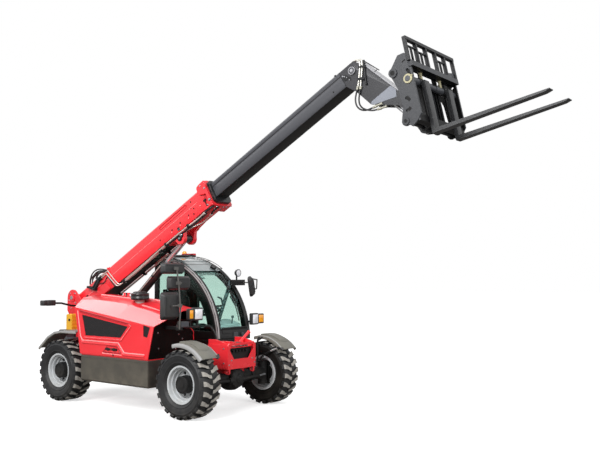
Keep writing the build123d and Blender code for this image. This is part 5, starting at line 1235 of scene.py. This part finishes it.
def pipes(name, body, surface, slot, runs, radius, place=boom_place):
    """Rigid bent pipes, each drawn through its own guide points."""
    curve = bpy.data.curves.new(name, "CURVE")
    curve.dimensions = "3D"
    curve.bevel_depth = radius
    curve.bevel_resolution = 3
    curve.use_fill_caps = True
    for run in runs:
        spline = curve.splines.new("NURBS")
        spline.points.add(len(run) - 1)
        for point, at in zip(spline.points, run):
            point.co = (*at, 1.0)
        spline.order_u = 3
        spline.use_endpoint_u = True
        spline.resolution_u = 8
    drawn = bpy.data.objects.new(name, curve)
    bpy.context.scene.collection.objects.link(drawn)
    bm = bmesh.new()
    bm.from_mesh(bpy.data.meshes.new_from_object(drawn))
    bpy.data.objects.remove(drawn)
    return piece(name, bm, body, slot, surface, place=place, crisp=60)


down = [[(0.614, -0.16, -0.034), (0.69, -0.16, -0.033), (0.758, -0.16, -0.031), (0.772, -0.16, -0.032),
         (0.78, -0.161, -0.046), (0.802, -0.163, -0.098), (0.866, -0.158, -0.246), (0.879, -0.153, -0.276),
         (0.886, -0.142, -0.291), (0.91, -0.128, -0.297), (1.0, -0.118, -0.298), (1.25, -0.118, -0.3),
         (1.86, -0.118, -0.286)],
        [(0.622, -0.16, -0.006), (0.71, -0.16, -0.007), (0.8, -0.16, -0.008), (0.815, -0.16, -0.01),
         (0.823, -0.161, -0.024), (0.844, -0.163, -0.078), (0.903, -0.158, -0.238), (0.914, -0.152, -0.268),
         (0.924, -0.138, -0.288), (0.95, -0.112, -0.292), (1.02, -0.088, -0.292), (1.25, -0.088, -0.296),
         (1.86, -0.088, -0.284)]]
pipes("boom_side_pipes", "outer_boom", pipe_steel, "zinc", down, 0.008)
along = [[(1.0, -0.082, -0.276), (1.5, -0.082, -0.276), (2.02, -0.112, -0.284), (2.24, -0.112, -0.29),
          (2.36, -0.104, -0.296), (2.52, -0.05, -0.296), (2.6, 0.016, -0.296), (2.72, 0.024, -0.296),
          (2.84, -0.018, -0.3)],
         [(1.0, -0.112, -0.276), (1.5, -0.112, -0.276), (1.9, -0.138, -0.284), (2.1, -0.151, -0.287),
          (2.45, -0.146, -0.287), (2.58, -0.13, -0.287), (2.74, -0.126, -0.29), (2.845, -0.15, -0.3)]]
pipes("boom_lower_pipes", "outer_boom", pipe_steel, "zinc", along, 0.0095)
jumpers = [[(2.835, -0.146, -0.3), (2.9, -0.162, -0.304), (2.97, -0.16, -0.3), (3.02, -0.13, -0.296)],
           [(2.83, -0.014, -0.3), (2.9, -0.052, -0.306), (2.96, -0.06, -0.306), (3.02, -0.04, -0.3)],
           [(2.05, -0.128, -0.296), (2.4, -0.12, -0.302), (2.62, -0.104, -0.304), (2.84, -0.112, -0.302)]]
pipes("boom_head_hoses", "outer_boom", hose_rubber, "hose_rubber", jumpers, 0.0135)
bm = bmesh.new()
for ferrule in (along[0], along[1]):
    end, back = Vector(ferrule[-1]), (Vector(ferrule[-1]) - Vector(ferrule[-2])).normalized()
    rod(bm, end - back * 0.04, end + back * 0.01, 0.0145, 16)
    rod(bm, end - back * 0.014, end + back * 0.004, 0.0185, 6)
piece("boom_head_ferrules", bm, "outer_boom", "zinc", pipe_steel, place=boom_place, edge=0.001)
runs = [[(s, 0.142 - 0.02 * k, n) for s, n in ((2.42, -0.268), (1.9, -0.275), (1.1, -0.275), (0.5, -0.275))]
        for k in (0, 1)]
pipes("boom_left_pipes", "outer_boom", pipe_steel, "zinc", runs, 0.0085)
bm = bmesh.new()
for s in (1.02, 1.86):
    block(bm, (s - 0.022, -0.136, -0.312), (s + 0.022, -0.055, -0.262))
    bolt(bm, (s, -0.096, -0.312), (0, 0, -1), 0.008, paint=1)
for s in (2.02, 2.5):
    block(bm, (s - 0.016, -0.16, -0.308), (s + 0.016, -0.1, -0.262))
for s in (0.6, 1.2, 1.8, 2.3):
    block(bm, (s - 0.02, 0.105, -0.29), (s + 0.02, 0.158, -0.262))
piece("boom_pipe_clamps", bm, "outer_boom", "pad_plastic", black_steel, bright_steel, place=boom_place,
      edge=0.003)
bm = bmesh.new()
rod(bm, (0.826, -0.16, 0.024), (0.826, -0.13, 0.024), 0.014, 20)
outline(bm, [(0.34, -0.112), (0.665, -0.124), (0.7, -0.165), (0.728, -0.205), (0.742, -0.254),
             (0.34, -0.254)], -0.1515, -0.1465)
piece("boom_side_plate", bm, "outer_boom", "red_paint", red_enamel, place=boom_place, edge=0.002)
loops = [[(0.77, -0.128, 0.032), (0.735, -0.13, 0.058), (0.66, -0.13, 0.112), (0.56, -0.13, 0.154),
          (0.462, -0.13, 0.148), (0.392, -0.13, 0.104), (0.354, -0.13, 0.056), (0.346, -0.13, 0.031)],
         [(0.752, -0.128, 0.032), (0.712, -0.13, 0.052), (0.64, -0.13, 0.096), (0.545, -0.13, 0.12),
          (0.462, -0.13, 0.098), (0.42, -0.13, 0.058), (0.41, -0.13, 0.031)],
         [(0.56, -0.172, -0.06), (0.608, -0.168, -0.102), (0.664, -0.164, -0.121), (0.71, -0.161, -0.107),
          (0.75, -0.159, -0.084), (0.776, -0.158, -0.078), (0.788, -0.158, -0.1), (0.812, -0.158, -0.186),
          (0.838, -0.158, -0.258), (0.856, -0.146, -0.286), (0.9, -0.112, -0.284)]]
pipes("tail_loops", "outer_boom", hose_rubber, "hose_rubber", loops[:2], 0.0095)
pipes("tail_thin_hose", "outer_boom", hose_rubber, "hose_rubber", loops[2:], 0.0065)
sleeves = [[(0.594, -0.168, -0.04), (0.566, -0.174, -0.058), (0.52, -0.177, -0.084), (0.452, -0.176, -0.114)],
           [(0.6, -0.168, -0.01), (0.56, -0.176, -0.024), (0.5, -0.178, -0.05), (0.43, -0.176, -0.08)],
           [(0.506, -0.126, 0.031), (0.516, -0.126, 0.052), (0.556, -0.126, 0.07), (0.606, -0.126, 0.076),
            (0.66, -0.126, 0.066), (0.714, -0.126, 0.042), (0.728, -0.126, 0.031)]]
pipes("tail_sleeves", "outer_boom", hose_rubber, "hose_rubber", sleeves[:2], 0.02)
pipes("tail_thick_hose", "outer_boom", hose_rubber, "hose_rubber", sleeves[2:], 0.015)
bm = bmesh.new()
for start, end in (((0.64, -0.16, -0.034), (0.586, -0.168, -0.043)),
                   ((0.648, -0.16, -0.006), (0.592, -0.168, -0.012))):
    rod(bm, start, end, 0.015, 16)
    rod(bm, Vector(end) * 0.7 + Vector(start) * 0.3, end, 0.0195, 16)
block(bm, (0.628, -0.172, -0.052), (0.652, -0.146, 0.012))
block(bm, (0.321, -0.206, -0.084), (0.505, -0.146, -0.056), turn=Matrix.Rotation(radians(42), 4, "Y"))
for at, lean in (((0.452, -0.176, -0.114), (0.068, 0, 0.03)), ((0.43, -0.176, -0.08), (0.07, 0, 0.03))):
    rod(bm, at, Vector(at) + Vector(lean) * 0.4, 0.0235, 20)
piece("tail_sleeve_flange", bm, "outer_boom", "pad_plastic", black_steel, place=boom_place, edge=0.002)
bm = bmesh.new()
# a near-black plate under the boom: painted shade
block(bm, (0.2, -0.112, -0.2595), (1.95, 0.112, -0.2555))
piece("boom_under_plate", bm, "outer_boom", "pad_plastic", underside_shade, place=boom_place, edge=0.001)
head = 3.05                                            # the head's front edge, along the boom
bm = bmesh.new()
outline(bm, [(2.876, 0.03), (2.888, 0.05), (2.93, 0.062), (2.95, 0.074), (3.046, 0.078), (3.046, 0.03)],
        -0.128, 0.128)
for side in (-1, 1):
    outline(bm, [(2.886, 0.04), (2.902, 0.06), (2.96, 0.07), (3.046, 0.073), (3.046, -0.09), (2.975, -0.098),
                 (2.89, -0.058), (2.88, -0.006)], side * 0.132, side * 0.18)
    outline(bm, [(3.02, -0.088), (3.044, -0.088), (3.044, -0.3), (3.02, -0.29)], side * 0.132, side * 0.186)
    outline(bm, [(2.88, -0.27), (3.044, -0.262), (3.044, -0.29), (2.89, -0.29)], side * 0.1, side * 0.184)
outline(bm, [(2.87, -0.256), (3.044, -0.256), (3.044, -0.303), (2.91, -0.3)], -0.11, 0.11)
piece("boom_head", bm, "outer_boom", "red_paint", red_enamel, place=boom_place, edge=0.006, rows=3)
bm = bmesh.new()
for side in (-1, 1):
    for s, n, y in ((3.026, -0.036, 0.18), (3.03, -0.214, 0.186)):
        rod(bm, (s, side * (y - 0.002), n), (s, side * (y + 0.003), n), 0.024, 24, paint=1)
        bolt(bm, (s, side * (y + 0.003), n), (0, side, 0), 0.0145)
    for s, n, y in ((2.965, 0.034, 0.18), (3.0, -0.212, 0.151), (2.945, -0.236, 0.151)):
        bolt(bm, (s, side * y, n), (0, side, 0), 0.0095)
    for n in (-0.02, -0.11, -0.215):
        bolt(bm, (head + 0.02, side * 0.152, n), (0, side, 0), 0.01, paint=1)
    for s in (head - 0.04, head - 0.09):
        bolt(bm, (s, side * 0.07, 0.078), (0, 0, 1), 0.01)
for s, y in ((3.02, -0.085), (3.02, 0.03), (2.96, -0.08), (2.96, 0.03), (3.02, 0.09)):
    bolt(bm, (s, y, -0.3025), (0, 0, -1), 0.0115)
piece("boom_head_bolts", bm, "outer_boom", "zinc", bright_steel, black_steel, place=boom_place)
lug_s, lug_n = 2.27, -0.337                           # the lift cylinder's pin in its lugs
bm = bmesh.new()
for side in (-1, 1):
    for s, n in ((2.693, -0.035), (2.661, -0.109), (2.701, -0.14), (2.667, -0.201), (2.576, -0.166),
                 (2.394, -0.172), (2.216, -0.175), (1.95, -0.176)):
        rod(bm, (s, side * 0.142, n), (s, side * 0.1505, n), 0.0095, 16, paint=1)
    # the small pale red discs are painted highlights
    for s, n in ((2.561, -0.201), (2.382, -0.202), (2.2, -0.203), (2.823, -0.172)):
        rod(bm, (s, side * 0.142, n), (s, side * 0.151, n), 0.009, 16, paint=2)
    rod(bm, (lug_s, side * 0.118, lug_n), (lug_s, side * 0.136, lug_n), 0.036, 32, paint=0)
    rod(bm, (lug_s, side * 0.13, lug_n), (lug_s, side * 0.139, lug_n), 0.014, 24, paint=3)
    rod(bm, (2.318, side * 0.126, -0.316), (2.318, side * 0.134, -0.316), 0.03, 24, paint=0)
    bolt(bm, (2.318, side * 0.134, -0.316), (0, side, 0), 0.014, paint=3)
piece("boom_plugs", bm, "outer_boom", "pad_plastic", black_steel, hole_black, highlight_red, bright_steel,
      place=boom_place, edge=0.002)
bm = bmesh.new()
# dark red groove outline and the patch under the head's side plate: painted shade
for side in (-1, 1):
    y = side * 0.148
    strip(bm, [(2.034, -0.02), (2.59, -0.016), (2.606, -0.034), (2.59, -0.053), (2.034, -0.062),
               (2.018, -0.041)], 0.008, 0.0035, y, closed=True)
    outline(bm, [(2.886, -0.148), (2.95, -0.098), (3.02, -0.096), (3.02, -0.192), (2.99, -0.196),
                 (2.946, -0.16)], side * 0.146, side * 0.1508)
boom_shade_red = finish("boom fold red", tone(196, 22, 36), 0.4, dusty=0.0)
piece("boom_pressings", bm, "outer_boom", "red_paint", boom_shade_red, place=boom_place)
bm = bmesh.new()
for s in (0.22, 0.245):
    rod(bm, (s, -0.152, -0.1), (s, -0.128, -0.1), 0.012, 16)
cable = [(2.925, -0.155, -0.165), (2.928, -0.158, -0.2), (2.93, -0.157, -0.235), (2.94, -0.152, -0.27)]
bent_rod(bm, cable, 0.0065, 10)
block(bm, (2.9, -0.16, -0.165), (2.95, -0.148, -0.145))
piece("boom_sensor", bm, "outer_boom", "pad_plastic", black_steel, place=boom_place, edge=0.001)

# ---- inner boom ------------------------------------------------------------------------------
# The charcoal box that slides in the outer boom, with a shallow groove rolled along each side
# and pads at its rear end; pale rods along the groove are painted highlights and its underside
# is painted dark as shade. Its end cap carries a round boss, ringed with painted highlights, and
# set screws.
inner_low, inner_high = 2.3, 5.4
section = [(0.08, 0.003), (0.094, -0.003), (0.1, -0.014), (0.1, -0.046), (0.0955, -0.053), (0.0955, -0.071),
           (0.1, -0.078), (0.1, -0.181), (0.095, -0.192), (0.082, -0.198)]
loop = section + [(-y, n) for y, n in reversed(section)]
inner_charcoal = finish("boom charcoal", tone(68, 69, 74), 0.36, drifting=0.1, size=1.2, grain=0.06,
                        bump=0.0004, dusty=0.0)
highlight_grey = finish("rubbed edge", tone(168, 168, 172), 0.35, drifting=0.2, size=6, dusty=0.0)
bm = bmesh.new()
ends = []
for s in (inner_low, inner_high):
    ends.append([bm.verts.new((s, y, n)) for y, n in loop])
    for a, b in zip(ends[-1], ends[-1][1:] + ends[-1][:1]):
        bm.edges.new((a, b))
bmesh.ops.bridge_loops(bm, edges=bm.edges[:])
bmesh.ops.recalc_face_normals(bm, faces=bm.faces)
# faces that look down take the near-black surface: painted shade
for face in bm.faces:
    face.material_index = 1 if face.normal.z < -0.5 else 0
bmesh.ops.solidify(bm, geom=bm.faces[:], thickness=-0.01)
block(bm, (inner_low, -0.1385, -0.2445), (inner_low + 0.045, 0.1385, -0.2015))
block(bm, (inner_low, -0.128, 0.0055), (inner_low + 0.045, 0.128, 0.0255))
for side in (-1, 1):
    block(bm, (inner_low, min(side * 0.1015, side * 0.1385), -0.215),
          (inner_low + 0.045, max(side * 0.1015, side * 0.1385), 0.004))
# pale rods along the groove: painted highlight lines
for side in (-1, 1):
    for n in (-0.014, -0.05, -0.0745):
        rod(bm, (inner_low + 0.05, side * 0.0985, n), (inner_high - 0.01, side * 0.0985, n), 0.0045, 8,
            paint=2)
piece("inner_boom_tube", bm, "inner_boom", "dark_paint", inner_charcoal, underside_shade, highlight_grey,
      place=boom_place, edge=0.0015, stands_for=["inner_boom"])
boss_s, boss_n = 5.554, -0.088                         # the round boss on the end cap
bm = bmesh.new()
for side in (-1, 1):
    # pale rings on the boss: painted highlights
    rod(bm, (boss_s, side * 0.11, boss_n), (boss_s, side * 0.1165, boss_n), 0.0475, 36, tip=0.045, paint=3)
    rod(bm, (boss_s, side * 0.115, boss_n), (boss_s, side * 0.118, boss_n), 0.038, 32)
    rod(bm, (boss_s, side * 0.117, boss_n), (boss_s, side * 0.1215, boss_n), 0.02, 28, tip=0.018, paint=3)
    rod(bm, (5.232, side * 0.098, -0.149), (5.232, side * 0.106, -0.149), 0.027, 24, paint=1)
    bolt(bm, (5.232, side * 0.106, -0.149), (0, side, 0), 0.011, paint=2)
    for s, n in ((5.419, -0.066), (5.458, -0.112), (5.44, -0.085), (5.476, -0.155)):
        bolt(bm, (s, side * 0.1, n), (0, side, 0), 0.0075, paint=1)
    outline(bm, [(5.4, -0.09), (5.455, -0.07), (5.505, -0.14), (5.49, -0.185), (5.465, -0.15), (5.41, -0.13)],
            side * 0.098, side * 0.102, paint=2)
block(bm, (5.33, -0.112, 0.001), (5.352, 0.112, 0.012), paint=2)
block(bm, (5.18, -0.085, 0.003), (5.4, 0.085, 0.009), paint=0)
piece("inner_boom_fittings", bm, "inner_boom", "dark_paint", inner_charcoal, bright_steel, black_steel,
      highlight_grey, place=boom_place, edge=0.0015)

# ---- boom nose -------------------------------------------------------------------------------
# Gooseneck of charcoal plate with a painted highlight across each cheek and a pale strap down its
# front painted as a highlight, ending in the hinge tube. Steel pipes come over its top and down
# the right cheek, and their hoses run below to the cylinder.
nose_grey = finish("nose grey", tone(45, 45, 49), 0.34, drifting=0.1, size=3, grain=0.06, bump=0.0004,
                   dusty=0.0)
cheek_highlight = finish("cheek flat", tone(136, 140, 150), 0.3, drifting=0.06, size=3, dusty=0.0)
dressed("boom_nose", "inner_boom", "dark_paint", nose_grey, edge=0.003)
bm = bmesh.new()
for side in (-1, 1):
    outline(bm, [(5.566, -0.576), (5.592, -0.552), (5.874, -0.548), (5.906, -0.63), (5.87, -0.7),
                 (5.605, -0.606)], side * 0.0995, side * 0.1035)
piece("nose_cheek_flats", bm, "inner_boom", "dark_paint", cheek_highlight, place=boom_place, edge=0.0015)
bm = bmesh.new()
# pale strap down the nose's front: painted highlight
outline(bm, [(5.672, -0.03), (5.69, -0.04), (5.738, -0.166), (5.932, -0.655), (5.921, -0.66), (5.727, -0.17)],
        -0.098, 0.098)
piece("nose_front_strap", bm, "inner_boom", "dark_paint", highlight_grey, place=boom_place, edge=0.002)
runs = []
for k in (0, 1):
    o = 0.036 * k
    runs.append([(5.32 - o * 0.3, -0.02 - o, 0.01), (5.52, -0.03 - o, 0.01),
                 (5.6 + o * 0.3, -0.055 - o * 0.8, 0.008), (5.652 + o * 0.4, -0.085 - o * 0.4, -0.016),
                 (5.676 + o * 0.5, -0.112, -0.04), (5.696 + o * 0.8, -0.119, -0.068),
                 (5.68 + o * 0.9, -0.119, -0.112), (5.614 + o, -0.118, -0.205), (5.546 + o, -0.114, -0.292),
                 (5.5135 + o * 0.95, -0.114, -0.3225 - o * 0.6)])
pipes("nose_pipes", "inner_boom", pipe_steel, "zinc", runs, 0.0095)
bm = bmesh.new()
rod(bm, (5.742, -0.11, -0.085), (5.64, -0.11, -0.325), 0.013, 16)
rod(bm, (5.64, -0.11, -0.325), (5.63, -0.11, -0.35), 0.013, 16)
block(bm, (5.645, -0.128, -0.156), (5.735, -0.1, -0.128), turn=Matrix.Rotation(radians(28), 4, "Y"))
block(bm, (5.57, -0.128, -0.268), (5.66, -0.1, -0.24), turn=Matrix.Rotation(radians(28), 4, "Y"))
rod(bm, (5.738, -0.086, -0.095), (5.838, -0.086, -0.3), 0.0055, 10)
for s, n in ((5.748, -0.118), (5.826, -0.276)):
    rod(bm, (s - 0.045, -0.086, n), (s, -0.086, n), 0.0045, 8)
piece("nose_pipe_clamps", bm, "inner_boom", "pad_plastic", black_steel, place=boom_place, edge=0.002)
brass = finish("pale fitting", tone(176, 174, 160), 0.4, metal=0.35, drifting=0.3, size=40, dusty=0.0)
bm = bmesh.new()
for route in nose_routes.values():
    start = Vector(route[-1])
    away = (start - Vector(route[-2])).normalized()
    rod(bm, start - away * 0.004, start + away * 0.03, 0.0145, 20)
    rod(bm, start + away * 0.03, start + away * 0.048, 0.018, 6)
    rod(bm, start + away * 0.048, start + away * 0.105, 0.012, 16)
    rod(bm, start + away * 0.105, start + away * 0.12, 0.017, 6)
for route in nose_routes.values():
    start, back = Vector(route[0]), (Vector(route[0]) - Vector(route[1])).normalized()
    rod(bm, start - back * 0.004, start + back * 0.022, 0.0145, 20)
    rod(bm, start + back * 0.018, start + back * 0.032, 0.0175, 6)
piece("nose_fittings", bm, "inner_boom", "zinc", brass, place=boom_place, edge=0.001)
bm = bmesh.new()
(tail_s, tail_n), tail_ys = tail_route[0], (-0.078, -0.042)
for y in tail_ys:
    rod(bm, (tail_s - 0.003, y, tail_n), (tail_s + 0.026, y, tail_n), 0.0148, 20)
    rod(bm, (tail_s + 0.024, y, tail_n), (tail_s + 0.044, y, tail_n), 0.018, 6)
for y in tail_ys:
    rod(bm, (0.2905, y, 0.052), (0.2835, y, 0.034), 0.016, 20)
    rod(bm, (0.2835, y, 0.036), (0.282, y, 0.03), 0.019, 6)
piece("tail_fittings", bm, "outer_boom", "zinc", bright_steel, place=boom_place, edge=0.001)

# ---- cylinders -------------------------------------------------------------------------------
# Hydraulic cylinders: black painted barrels with a screwed gland, a bright pipe clamped along
# the lift barrel, and hard chromed rods with forged eyes.
chrome = finish("hard chrome", tone(226, 227, 230), 0.18, metal=0.72, drifting=0.04, size=6, grain=0.02,
                dusty=0.0)
barrel_black = finish("cylinder black", tone(30, 29, 31), 0.34, coat=0.15, drifting=0.15, size=4, dusty=0.1,
                      head=3.0)
for name, surface, slot in (("lift_barrel", barrel_black, "cylinder_paint"),
                            ("tilt_barrel", barrel_black, "cylinder_paint"),
                            ("lift_rod", chrome, "chrome_rod"), ("tilt_rod", chrome, "chrome_rod")):
    eye = Vector(joints[name + "_pin"]["pos_m"]) if name == "lift_rod" else Vector()
    cylinder = dressed(name, name, slot, surface, edge=0.003)
    cylinder.data.materials.append(barrel_black)
    for face in cylinder.data.polygons:
        face.material_index = 1 if name == "lift_rod" and (face.center - eye).length < 0.075 else 0
lift_low = Vector((-1.284 + mid_x, 0, 0.793))          # the eye at the barrel's base
lift_top = Vector(joints["lift_rod_pin"]["pos_m"])
lift_place = laid_along(lift_low, (lift_top - lift_low).normalized())
bm = bmesh.new()
rod(bm, (0.25, -0.0665, 0.0), (1.6, -0.0665, 0.0), 0.008, 12)
rod(bm, (0.18, -0.045, 0.0), (0.25, -0.0665, 0.0), 0.008, 12)
rod(bm, (1.6, -0.0665, 0.0), (1.64, -0.05, 0.0), 0.008, 12)
piece("lift_pipe", bm, "lift_barrel", "zinc", pipe_steel, place=lift_place, edge=0.001)
bm = bmesh.new()
for s in (0.5, 1.0, 1.4):
    rod(bm, (s - 0.012, 0, 0), (s + 0.012, 0, 0), 0.0585, 36)
    block(bm, (s - 0.014, -0.079, -0.014), (s + 0.014, -0.052, 0.014))
rod(bm, (1.64, 0, 0), (1.6899, 0, 0), 0.0625, 12)
for k in range(4):
    y, n = 0.062 * cos(tau * k / 4), 0.062 * sin(tau * k / 4)
    block(bm, (1.655, y - 0.006, n - 0.006), (1.685, y + 0.006, n + 0.006))
piece("lift_bands", bm, "lift_barrel", "cylinder_paint", barrel_black, place=lift_place, edge=0.001)

# ---- fork coupler and carriage ---------------------------------------------------------------
# Plate coupler on the boom's hinge with hooks and lower pins, the fork carriage that hangs on
# it, and its load backrest. Charcoal enamel.
fork_u = Vector(next(m for m in frame["record"]["mounts"]
                     if m["name"] == "fork_shank_face_left")["axis"]).normalized()
fork_v = Vector((-fork_u.z, 0, fork_u.x))
hinge_back, hinge_up = 0.296, 0.449                    # from the forks' heel to the hinge
heel = Vector(joints["carriage_tilt"]["pos_m"]) + fork_u * hinge_back - fork_v * hinge_up
fork_place = laid_along(heel, fork_u)
plate_grey = finish("carriage grey", tone(41, 43, 48), 0.46, drifting=0.14, size=5, grain=0.14,
                    grain_size=240, bump=0.0007, dusty=0.0)
frame_grey = finish("carriage frame", tone(24, 25, 28), 0.44, drifting=0.15, size=5, grain=0.14,
                    grain_size=240, bump=0.0007, dusty=0.0, shine=0.35)
shade_black = finish("carriage back", tone(9, 9, 11), 0.5, drifting=0.15, size=5, dusty=0.0, shine=0.2)
dressed("fork_coupler", "carriage", "dark_paint", frame_grey, edge=0.003)
carriage = dressed("fork_carriage", "carriage", "dark_paint", plate_grey, edge=0.003)
carriage.data.materials.append(shade_black)
# the middle of the carriage below its top crossbar is painted near-black: painted shade
for face in carriage.data.polygons:
    middle = fork_place.inverted() @ face.center
    face.material_index = 1 if abs(middle.y) < 0.505 and middle.z < 0.7 else 0
dressed("load_backrest", "carriage", "dark_paint", frame_grey, edge=0.004)
bm = bmesh.new()
for side in (-1, 1):
    out = side * 0.52
    rod(bm, (-0.241, side * 0.519, 0.692), (-0.241, side * 0.536, 0.692), 0.048, 36)
    rod(bm, (-0.241, side * 0.534, 0.692), (-0.241, side * 0.5385, 0.692), 0.026, 28, paint=1)
    rod(bm, (-0.211, side * 0.519, 0.158), (-0.211, side * 0.531, 0.158), 0.04, 32)
    rod(bm, (-0.211, side * 0.529, 0.158), (-0.211, side * 0.5325, 0.158), 0.02, 24, paint=1)
    for (u0, v0), (u1, v1), half in (((-0.118, 0.765), (-0.075, 0.785), 0.007),
                                     ((-0.062, 0.6), (-0.068, 0.668), 0.017),
                                     ((-0.148, 0.4), (-0.118, 0.35), 0.017),
                                     ((-0.16, 0.258), (-0.125, 0.278), 0.016)):
        along = Vector((u1 - u0, 0, v1 - v0))
        middle = ((u0 + u1) / 2, out + side * 0.0005, (v0 + v1) / 2)
        place = Matrix.Translation(middle) @ along.to_track_quat("Z", "X").to_matrix().to_4x4()
        size = Matrix.Diagonal((half * 2, 0.0014, along.length, 1))
        made = bmesh.ops.create_cube(bm, size=1.0, matrix=place @ size)
        painted(made["verts"], 1)
piece("carriage_bosses", bm, "carriage", "dark_paint", plate_grey, hole_black, place=fork_place, edge=0.002)
bm = bmesh.new()
for i in range(5):
    y = -0.536 + (i + 0.5) * 0.2144
    if i in (0, 1, 3):
        block(bm, (-0.044, y - 0.008, 0.7503), (-0.02, y + 0.008, 0.93 - 0.02 * (i % 2)))
        block(bm, (-0.044, y - 0.1, 0.915 - 0.02 * (i % 2)), (-0.02, y + 0.1, 0.928 - 0.02 * (i % 2)))
block(bm, (-0.049, -0.549, 0.9775), (-0.007, 0.549, 1.0143))
piece("backrest_rails", bm, "carriage", "dark_paint", frame_grey, place=fork_place, edge=0.003)
bm = bmesh.new()
# upright ribs in near-black: painted shade
for y in (-0.36, -0.18, 0.18, 0.36):
    block(bm, (-0.13, y - 0.02, 0.19), (-0.112, y + 0.02, 0.716))
piece("carriage_ribs", bm, "carriage", "dark_paint", shade_black, place=fork_place, edge=0.003)

# ---- fork shaft, pins and forks --------------------------------------------------------------
# The forks hang on a dark phosphated shaft with end discs, and two yellow-zinc pins lock the
# carriage to its coupler. The forged blades are painted, and worn at their heels and tips.
yellow_zinc = finish("yellow zinc", tone(172, 166, 134), 0.5, metal=0.15, drifting=0.5, size=30, grain=0.1,
                     dusty=0.0)
shaft_zinc = finish("dark phosphated shaft", tone(66, 68, 73), 0.45, metal=0.2, drifting=0.3, size=20,
                    dusty=0.0)
dressed("fork_shaft", "carriage", "zinc", shaft_zinc, edge=0.003)
shaft_u, shaft_v = -0.088, 0.576                       # the shaft's middle, out from and above the heel
bm = bmesh.new()
for side in (-1, 1):
    rod(bm, (shaft_u, side * 0.52, shaft_v), (shaft_u, side * 0.532, shaft_v), 0.05, 36)
    rod(bm, (shaft_u, side * 0.53, shaft_v), (shaft_u, side * 0.5378, shaft_v), 0.017, 28, paint=1)
    rod(bm, (shaft_u, side * 0.526, 0.58), (-0.03, side * 0.526, 0.596), 0.008, 12)
for y in (-0.215, 0.215):
    rod(bm, (shaft_u, y, 0.6), (shaft_u, y, 0.7), 0.016, 18)
    rod(bm, (shaft_u, y, 0.69), (shaft_u, y, 0.712), 0.022, 20)
piece("locking_pins", bm, "carriage", "zinc", yellow_zinc, bright_steel, place=fork_place, edge=0.002)
bm = bmesh.new()
for y0, y1 in ((-0.492, -0.325), (-0.212, -0.05), (0.05, 0.212), (0.325, 0.492)):
    rod(bm, (shaft_u, y0, shaft_v), (shaft_u, y1, shaft_v), 0.038, 28)
piece("shaft_sleeves", bm, "carriage", "zinc", shaft_zinc, place=fork_place, edge=0.003)
fork_paint = finish("fork paint", tone(26, 27, 30), 0.42, drifting=0.2, size=4, grain=0.2, grain_size=200,
                    bump=0.0008, dusty=0.0)
tree = fork_paint.node_tree
shader = tree.nodes["Principled BSDF"]
space = node(tree, "ShaderNodeTexCoord").outputs["Object"]
long_way = node(tree, "ShaderNodeMapping", Vector=space, Rotation=(0, radians(12.85), 0),
                Scale=(3.0, 60.0, 60.0))
scratch = node(tree, "ShaderNodeTexNoise", Vector=long_way.outputs[0], Scale=1.5, Detail=4.0)
worn = node(tree, "ShaderNodeMapRange", Value=scratch.outputs["Fac"], i1=0.6, i2=0.72)
under = next(link.from_socket for link in tree.links if link.to_socket == shader.inputs["Base Color"])
bare = mixed(tree, worn.outputs["Result"], under, tone(58, 60, 63))
tree.links.new(bare, shader.inputs["Base Color"])
dressed("forks", "carriage", "fork_steel", fork_paint, edge=0.006, rows=3)
